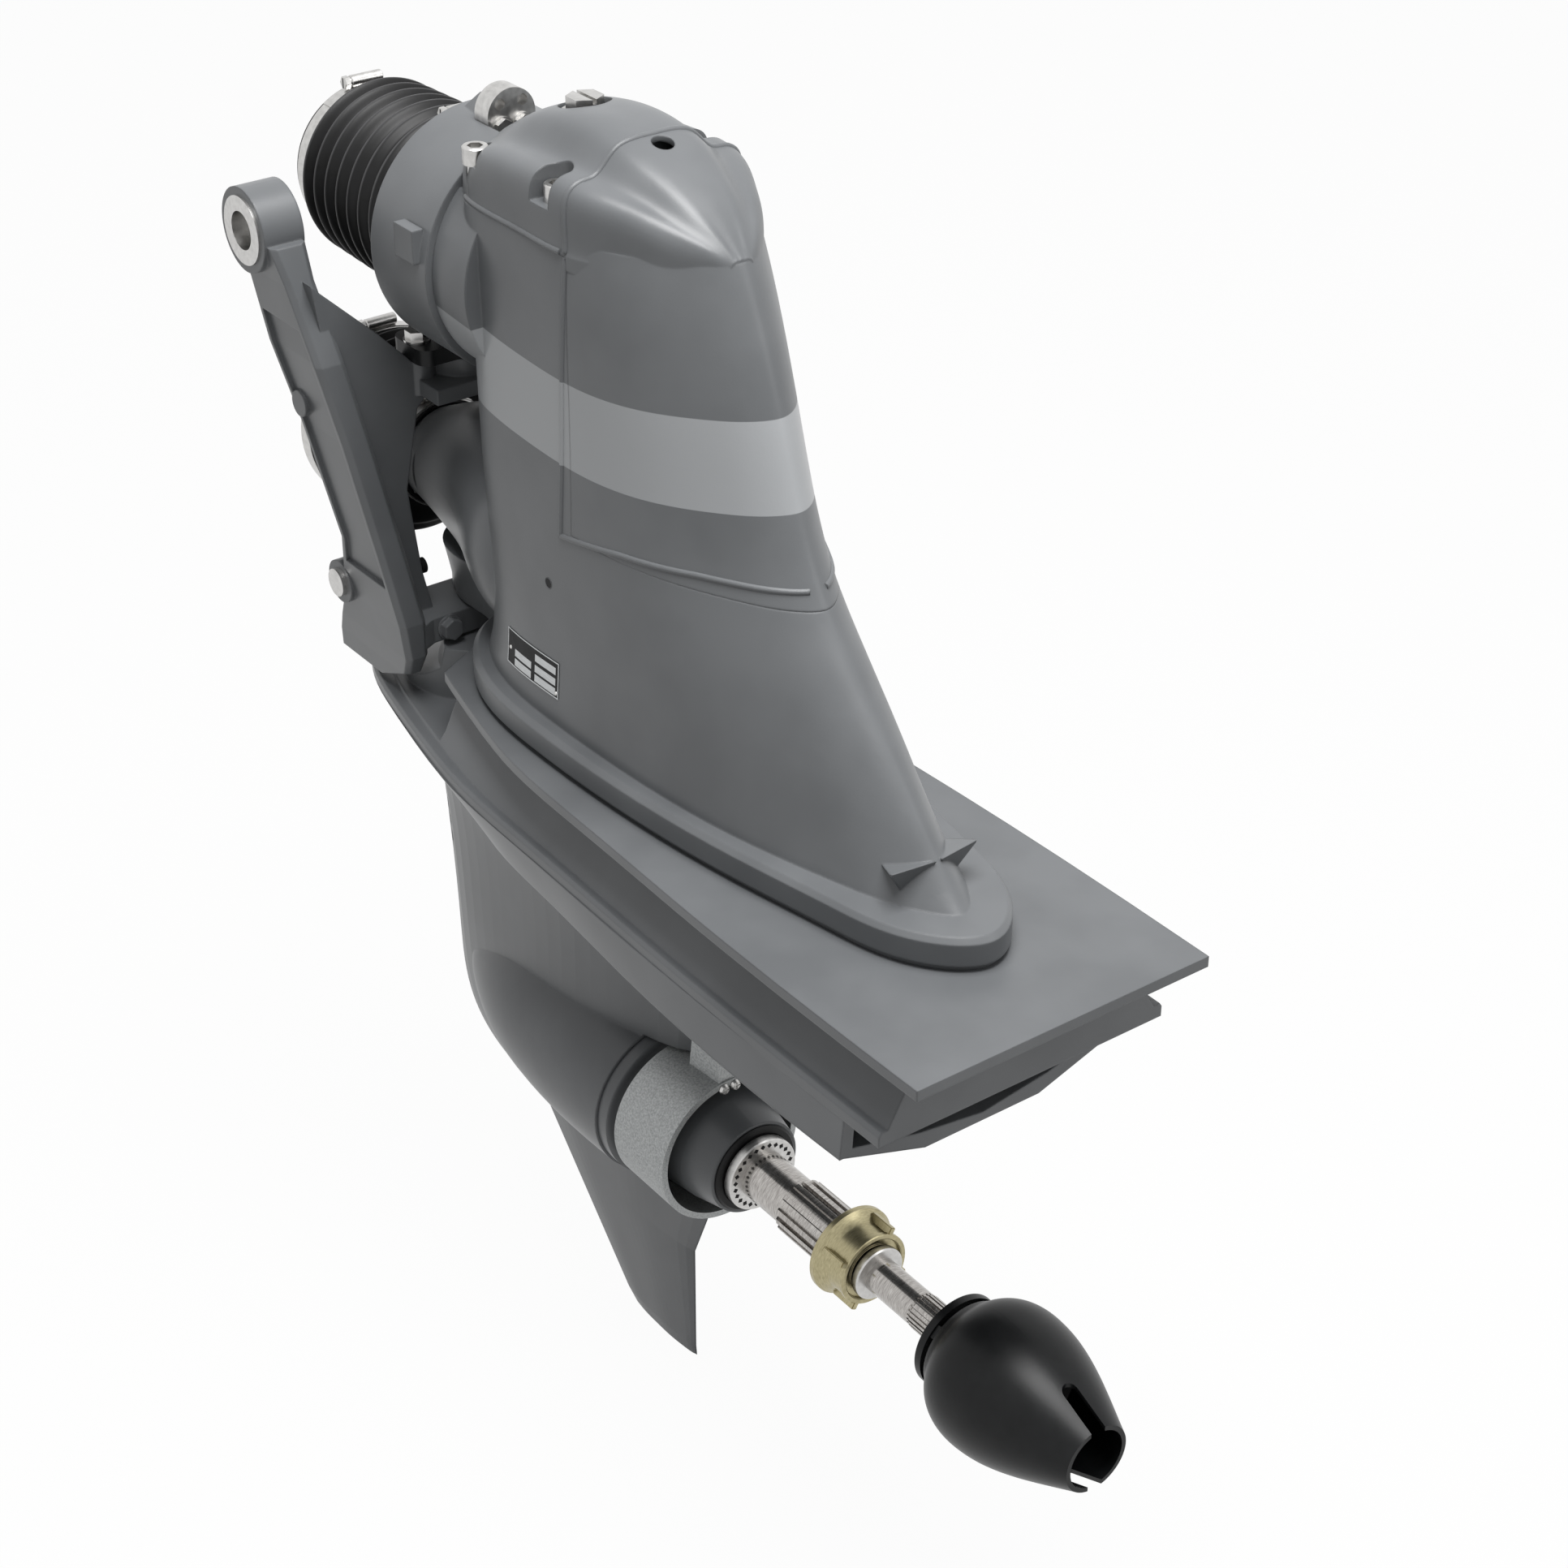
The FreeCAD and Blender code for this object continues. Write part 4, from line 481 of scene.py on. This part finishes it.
# Blocks set evenly round the propeller shafts' axis: ribs of the ring nut, and thin near-black blocks of
# painted shade that stand for the notches of the thrust collar.
nutRibs = {"Count": 4, "Radius": 30.4 * mm, "Start": 0.55, "Twist": 0.0, "High": 6.4 * mm,
           "Wide": 4.6 * mm, "Long": 22.5 * mm, "Along": -537.9 * mm, "Drop": shaftAxis}
collarNotchShade = {"Count": 26, "Radius": 25.2 * mm, "Start": 0.0, "Twist": math.pi / 4,
                 "High": 3.0 * mm, "Wide": 3.0 * mm, "Long": 0.3 * mm, "Along": -416.55 * mm,
                 "Drop": shaftAxis}
tree, size = newTree("blocks round an axis", nutRibs)
circle = addNode(tree, "GeometryNodeMeshCircle", {"Vertices": size["Count"], "Radius": size["Radius"]})
extent = addNode(tree, "ShaderNodeCombineXYZ", {"X": size["High"], "Y": size["Wide"], "Z": size["Long"]})
cube = addNode(tree, "GeometryNodeMeshCube", {"Size": extent.outputs[0]})
place = addNode(tree, "ShaderNodeSeparateXYZ", {0: addNode(tree, "GeometryNodeInputPosition").outputs[0]})
bearing = addNode(tree, "ShaderNodeMath", {0: place.outputs["Y"], 1: place.outputs["X"]},
                  operation="ARCTAN2")
facing = addNode(tree, "ShaderNodeMath", {0: bearing.outputs[0], 1: size["Twist"]}, operation="ADD")
heading = addNode(tree, "ShaderNodeCombineXYZ", {"Z": facing.outputs[0]})
copies = addNode(tree, "GeometryNodeInstanceOnPoints", {"Points": circle.outputs[0],
                                                        "Instance": cube.outputs[0],
                                                        "Rotation": heading.outputs[0]})
begin = addNode(tree, "ShaderNodeCombineXYZ", {"Z": size["Start"]})
begun = addNode(tree, "GeometryNodeTransform", {"Geometry": copies.outputs[0],
                                                "Rotation": begin.outputs[0]})
station = addNode(tree, "ShaderNodeCombineXYZ", {"X": size["Along"], "Z": size["Drop"]})
laid = addNode(tree, "GeometryNodeTransform", {"Geometry": begun.outputs[0],
                                               "Translation": station.outputs[0],
                                               "Rotation": (0, math.pi / 2, 0)})
plain = addNode(tree, "GeometryNodeRealizeInstances", {"Geometry": laid.outputs[0]})
painted = addNode(tree, "GeometryNodeSetMaterial", {"Geometry": plain.outputs[0], "Material": turnedBronze})
addNode(tree, "NodeGroupOutput", {"Geometry": painted.outputs[0]})

# Ring nut that clamps the forward propeller: flange, conical step, plain barrel with a thin rear lip.
ringNut = {"front": -519, "rear": -549.4, "flange": 35.1, "step": (33, 28.4), "barrel": 27.6,
           "lip": 28.6, "bore": 19.3, "throat": 24.4}
front, rear, flange, (wide, narrow), barrel, lip, bore, throat = ringNut.values()
profile = [(front, bore), (front, flange - 1), (front - 1, flange), (front - 5, flange),
           (front - 6, flange - 1), (front - 7, wide), (front - 12, narrow), (front - 13.5, barrel),
           (rear + 4, barrel), (rear + 3.4, lip), (rear + 0.6, lip), (rear, lip - 0.6),
           (rear, throat + 0.8), (rear + 0.8, throat), (rear + 3, throat - 0.4), (rear + 3, bore)]
bm = bmesh.new()
spin(bm, [(a * mm, r * mm) for a, r in profile], (0, 0, shaftAxis), (1, 0, 0), 96)
nut = newPiece("ring_nut_turned", meshFrom("ring_nut_turned", bm), "outer_line", turnedBronze)
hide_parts("ring_nut")
bm = bmesh.new()
bm.from_mesh(growMesh("ring_nut_ribs", tree, nutRibs))
bmesh.ops.bevel(bm, geom=list(bm.edges), offset=0.6 * mm, segments=2, affect="EDGES")
newPiece("ring_nut_ribs", meshFrom("ring_nut_ribs", bm), "outer_line", turnedBronze)
# the collar's notches are thin near-black blocks: painted shade, not cut notches
notchShade = growMesh("thrust_collar_notches", tree, collarNotchShade)
notchShade.materials.clear()
newPiece("thrust_collar_notches", notchShade, "outer_line", holeShadeAndBlackPlate, smooth=False)
print("ring nut and collar cut")

# The castings' surface, for what lies on it
skins = [BVHTree.FromPolygons([v.co for v in nodes[name].data.vertices],
                              [p.vertices for p in nodes[name].data.polygons])
         for name in ("leg_casing", "rear_cowl", "top_cover")]
# rays start this far from the centre plane, outside every casting
clear = 200 * mm


def touch(start, direction):
    # nearest place where a ray meets the castings
    hits = [skin.ray_cast(Vector(start), Vector(direction)) for skin in skins]
    hits = [hit for hit in hits if hit[0] is not None]
    return min(hits, key=lambda hit: hit[3])[:2] if hits else (None, None)


# Blank rating plate riveted to the port side: thin metal rim, dark ground, bare pale fields
plate = {"corners": [(-214, -244), (-285, -242), (-283, -271), (-211, -273)], "columns": 72,
         "rows": 30, "lift": 0.5 * mm, "thickness": 0.5 * mm,
         "fields": [(0.17, 0.50, 0.46, 0.66), (0.17, 0.50, 0.74, 0.92), (0.57, 0.95, 0.18, 0.38),
                    (0.57, 0.95, 0.46, 0.66), (0.57, 0.95, 0.74, 0.92)]}
columns, rows = plate["columns"], plate["rows"]
bm = bmesh.new()
grid = []
for row in range(rows + 1):
    line = []
    for column in range(columns + 1):
        u, v = column / columns, row / rows
        (ax, az), (bx, bz), (cx, cz), (dx, dz) = plate["corners"]
        x = (ax * (1 - u) + bx * u) * (1 - v) + (dx * (1 - u) + cx * u) * v
        z = (az * (1 - u) + bz * u) * (1 - v) + (dz * (1 - u) + cz * u) * v
        spot = touch((x * mm, clear, z * mm), (0, -1, 0))[0]
        line.append(bm.verts.new(spot + Vector((0, plate["lift"], 0))))
    grid.append(line)
for row in range(rows):
    for column in range(columns):
        face = bm.faces.new([grid[row][column], grid[row][column + 1], grid[row + 1][column + 1],
                             grid[row + 1][column]])
        u, v = (column + 0.5) / columns, (row + 0.5) / rows
        rim = min(u, 1 - u) * columns < 1 or min(v, 1 - v) * rows < 1
        field = any(u0 < u < u1 and v0 < v < v1 for u0, u1, v0, v1 in plate["fields"])
        face.material_index = 0 if rim or field else 1
bmesh.ops.solidify(bm, geom=list(bm.faces), thickness=plate["thickness"])
mesh = meshFrom("rating_plate", bm)
mesh.materials.append(plateMetal)
mesh.materials.append(holeShadeAndBlackPlate)
newPiece("rating_plate", mesh, "leg", smooth=False)

# Round rivets of the plate, as heights and radii of the head's profile
rivet = {"spots": [(-217.5, -259), (-280.5, -267)],
         "head": [(0.4, 0), (0.4, 1.7), (1.0, 1.4), (1.4, 0.7), (1.5, 0)]}
bm = bmesh.new()
for x, z in rivet["spots"]:
    spot, normal = touch((x * mm, clear, z * mm), (0, -1, 0))
    spin(bm, [(a * mm, r * mm) for a, r in rivet["head"]], spot, normal, 20)
newPiece("rating_plate_rivets", meshFrom("rating_plate_rivets", bm), "leg", stripSteel)

# Small drilled points in the casting's flanks, each a near-black disc of painted shade for the hole, within
# a low rim
flankPoint = {"spots": [(-274, -184), (-558, -207)], "radius": 3.4 * mm, "proud": 0.25 * mm,
              "sunk": -0.3 * mm, "floorTop": 0.08 * mm, "floorBottom": -0.4 * mm}
radius, proud, sunk = flankPoint["radius"], flankPoint["proud"], flankPoint["sunk"]
floorTop, floorBottom = flankPoint["floorTop"], flankPoint["floorBottom"]
rims, pointShades = bmesh.new(), bmesh.new()
for x, z in flankPoint["spots"]:
    for side in (1, -1):
        spot, normal = touch((x * mm, clear * side, z * mm), (0, -side, 0))
        if spot is None:
            continue
        spin(rims, [(sunk, radius), (proud, radius + 0.2 * mm), (proud, radius + 0.7 * mm),
                    (sunk, radius + 1 * mm)], spot, normal, 32)
        spin(pointShades, [(floorBottom, 0), (floorBottom, radius), (floorTop, radius), (floorTop, 0)],
             spot, normal, 32)
newPiece("flank_point_rims", meshFrom("flank_point_rims", rims), "leg", castEnamel)
# the near-black discs are painted shade of the drilled holes
newPiece("flank_points", meshFrom("flank_points", pointShades), "leg", holeShadeAndBlackPlate)
print("plate and points set")

# Raised bead along the joint of gearcase, cowl and cover
bead = {"radius": 2.3 * mm, "sink": 0.7 * mm, "offMiddle": 4 * mm, "crownAt": -302.5 * mm,
        "crownCentre": 60 * mm, "crownSweep": 88, "crownSteps": 90}


def layBead(name, spots, material):
    curve = bpy.data.curves.new(name, "CURVE")
    curve.dimensions = "3D"
    curve.bevel_depth = bead["radius"]
    curve.bevel_resolution = 3
    curve.use_fill_caps = True
    line = curve.splines.new("POLY")
    line.points.add(len(spots) - 1)
    for point, spot in zip(line.points, spots):
        point.co = (*spot, 1)
    host = bpy.data.objects.new(name + "Host", curve)
    bpy.context.scene.collection.objects.link(host)
    mesh = settle(host)
    mesh.materials.clear()
    newPiece(name, mesh, "leg", material)


def seamPath(corners, side, steps=60):
    # points on the skin under straight runs given in side view
    spots = []
    for (x0, z0), (x1, z1) in zip(corners, corners[1:]):
        for step in range(steps):
            x, z = x0 + (x1 - x0) * step / steps, z0 + (z1 - z0) * step / steps
            spot, normal = touch((x * mm, clear * side, z * mm), (0, -side, 0))
            if spot is not None and abs(spot.y) > bead["offMiddle"]:
                inward = normal.normalized() * bead["sink"]
                spots.append(spot - inward if normal.y * side > 0 else spot)
    return spots


seams = {"cowl_seam_": ([(-302, 60), (-299, 10), (-296, -29), (-290, -143)], bandedEnamel),
         "cowl_foot_seam_": ([(-290, -142), (-353, -132), (-415, -127), (-500, -125)], castEnamel),
         "cover_seam_": ([(-178, 61.5), (-300, 61.5)], castEnamel)}
for side, word in ((1, "port"), (-1, "starboard")):
    for name, (corners, material) in seams.items():
        layBead(name + word, seamPath(corners, side), material)
crownSeam = []
sweep, steps = bead["crownSweep"], bead["crownSteps"]
for step in range(steps + 1):
    angle = math.radians(-sweep + step * 2 * sweep / steps)
    outward = Vector((0, math.sin(angle), math.cos(angle)))
    centre = Vector((bead["crownAt"], 0, bead["crownCentre"]))
    spot = touch(centre + outward * clear, -outward)[0]
    if spot is not None:
        crownSeam.append(spot - outward * bead["sink"])
layBead("crown_seam", crownSeam, castEnamel)
print("seam beads laid")

# Studio: pale floor that the camera and the reflections see as near white, even sky, two soft lamps
stage = {"floor": (-0.4, 0, -0.886), "size": 14.0, "sky": 0.38, "seen": 0.96}
bm = bmesh.new()
bmesh.ops.create_grid(bm, x_segments=1, y_segments=1, size=stage["size"])
bmesh.ops.translate(bm, vec=stage["floor"], verts=bm.verts)
mesh = bpy.data.meshes.new("floor")
bm.to_mesh(mesh)
bm.free()
floor = bpy.data.objects.new("floor", mesh)
bpy.context.scene.collection.objects.link(floor)
floorMaterial, tree, shader = newMaterial("pale studio floor", "#c6c6c5", 0.0, 0.9)
glow = addNode(tree, "ShaderNodeEmission", {"Color": (1, 1, 1, 1), "Strength": 1.0})
rays = addNode(tree, "ShaderNodeLightPath")
direct = addNode(tree, "ShaderNodeMath", {0: rays.outputs["Is Camera Ray"],
                                          1: rays.outputs["Is Glossy Ray"]},
                 operation="ADD", use_clamp=True)
seen = addNode(tree, "ShaderNodeMath", {0: direct.outputs[0], 1: rays.outputs["Is Transmission Ray"]},
               operation="ADD", use_clamp=True)
share = addNode(tree, "ShaderNodeMath", {0: seen.outputs[0], 1: stage["seen"]},
                operation="MULTIPLY")
mixShader = addNode(tree, "ShaderNodeMixShader", {0: share.outputs[0], 1: shader.outputs[0],
                                                  2: glow.outputs[0]})
tree.links.new(mixShader.outputs[0], tree.nodes["Material Output"].inputs["Surface"])
floor.data.materials.append(floorMaterial)

world = bpy.data.worlds.new("studio")
bpy.context.scene.world = world
world.use_nodes = True
tree = world.node_tree
tree.nodes.clear()
rays = addNode(tree, "ShaderNodeLightPath")
seen = addNode(tree, "ShaderNodeMath", {0: rays.outputs["Is Camera Ray"],
                                        1: rays.outputs["Is Glossy Ray"]},
               operation="ADD", use_clamp=True)
strength = addNode(tree, "ShaderNodeMapRange", {"Value": seen.outputs[0], "To Min": stage["sky"],
                                                "To Max": 1.0})
sky = addNode(tree, "ShaderNodeBackground", {"Color": (1, 1, 1, 1),
                                             "Strength": strength.outputs["Result"]})
addNode(tree, "ShaderNodeOutputWorld", {"Surface": sky.outputs[0]})

lamps = {
    "overhead": {"at": (-0.8, 0.1, 2.0), "aim": (-0.4, 0, -0.3), "size": 1.4, "power": 98},
    "sternSide": {"at": (-2.4, -1.2, 0.9), "aim": (-0.4, 0, -0.2), "size": 1.0, "power": 7},
}
for name, lamp in lamps.items():
    data = bpy.data.lights.new(name, "AREA")
    data.size = lamp["size"]
    data.energy = lamp["power"]
    light = bpy.data.objects.new(name, data)
    light.location = lamp["at"]
    light.rotation_euler = (Vector(lamp["aim"]) - Vector(lamp["at"])).to_track_quat("-Z", "Y").to_euler()
    bpy.context.scene.collection.objects.link(light)

shot = {"at": (-1.8598, 1.0542, 0.7904), "aim": (-0.4424, 0.0, -0.2890), "lens": 70.57,
        "sensor": 36, "nearest": 0.05, "farthest": 60}
camera = bpy.data.objects.new("camera", bpy.data.cameras.new("camera"))
camera.data.lens = shot["lens"]
camera.data.sensor_width = shot["sensor"]
camera.data.clip_start = shot["nearest"]
camera.data.clip_end = shot["farthest"]
camera.location = shot["at"]
camera.rotation_euler = (Vector(shot["aim"]) - Vector(shot["at"])).to_track_quat("-Z", "Y").to_euler()
bpy.context.scene.collection.objects.link(camera)
bpy.context.scene.camera = camera
bpy.context.scene.view_settings.view_transform = "Standard"
print("studio set")
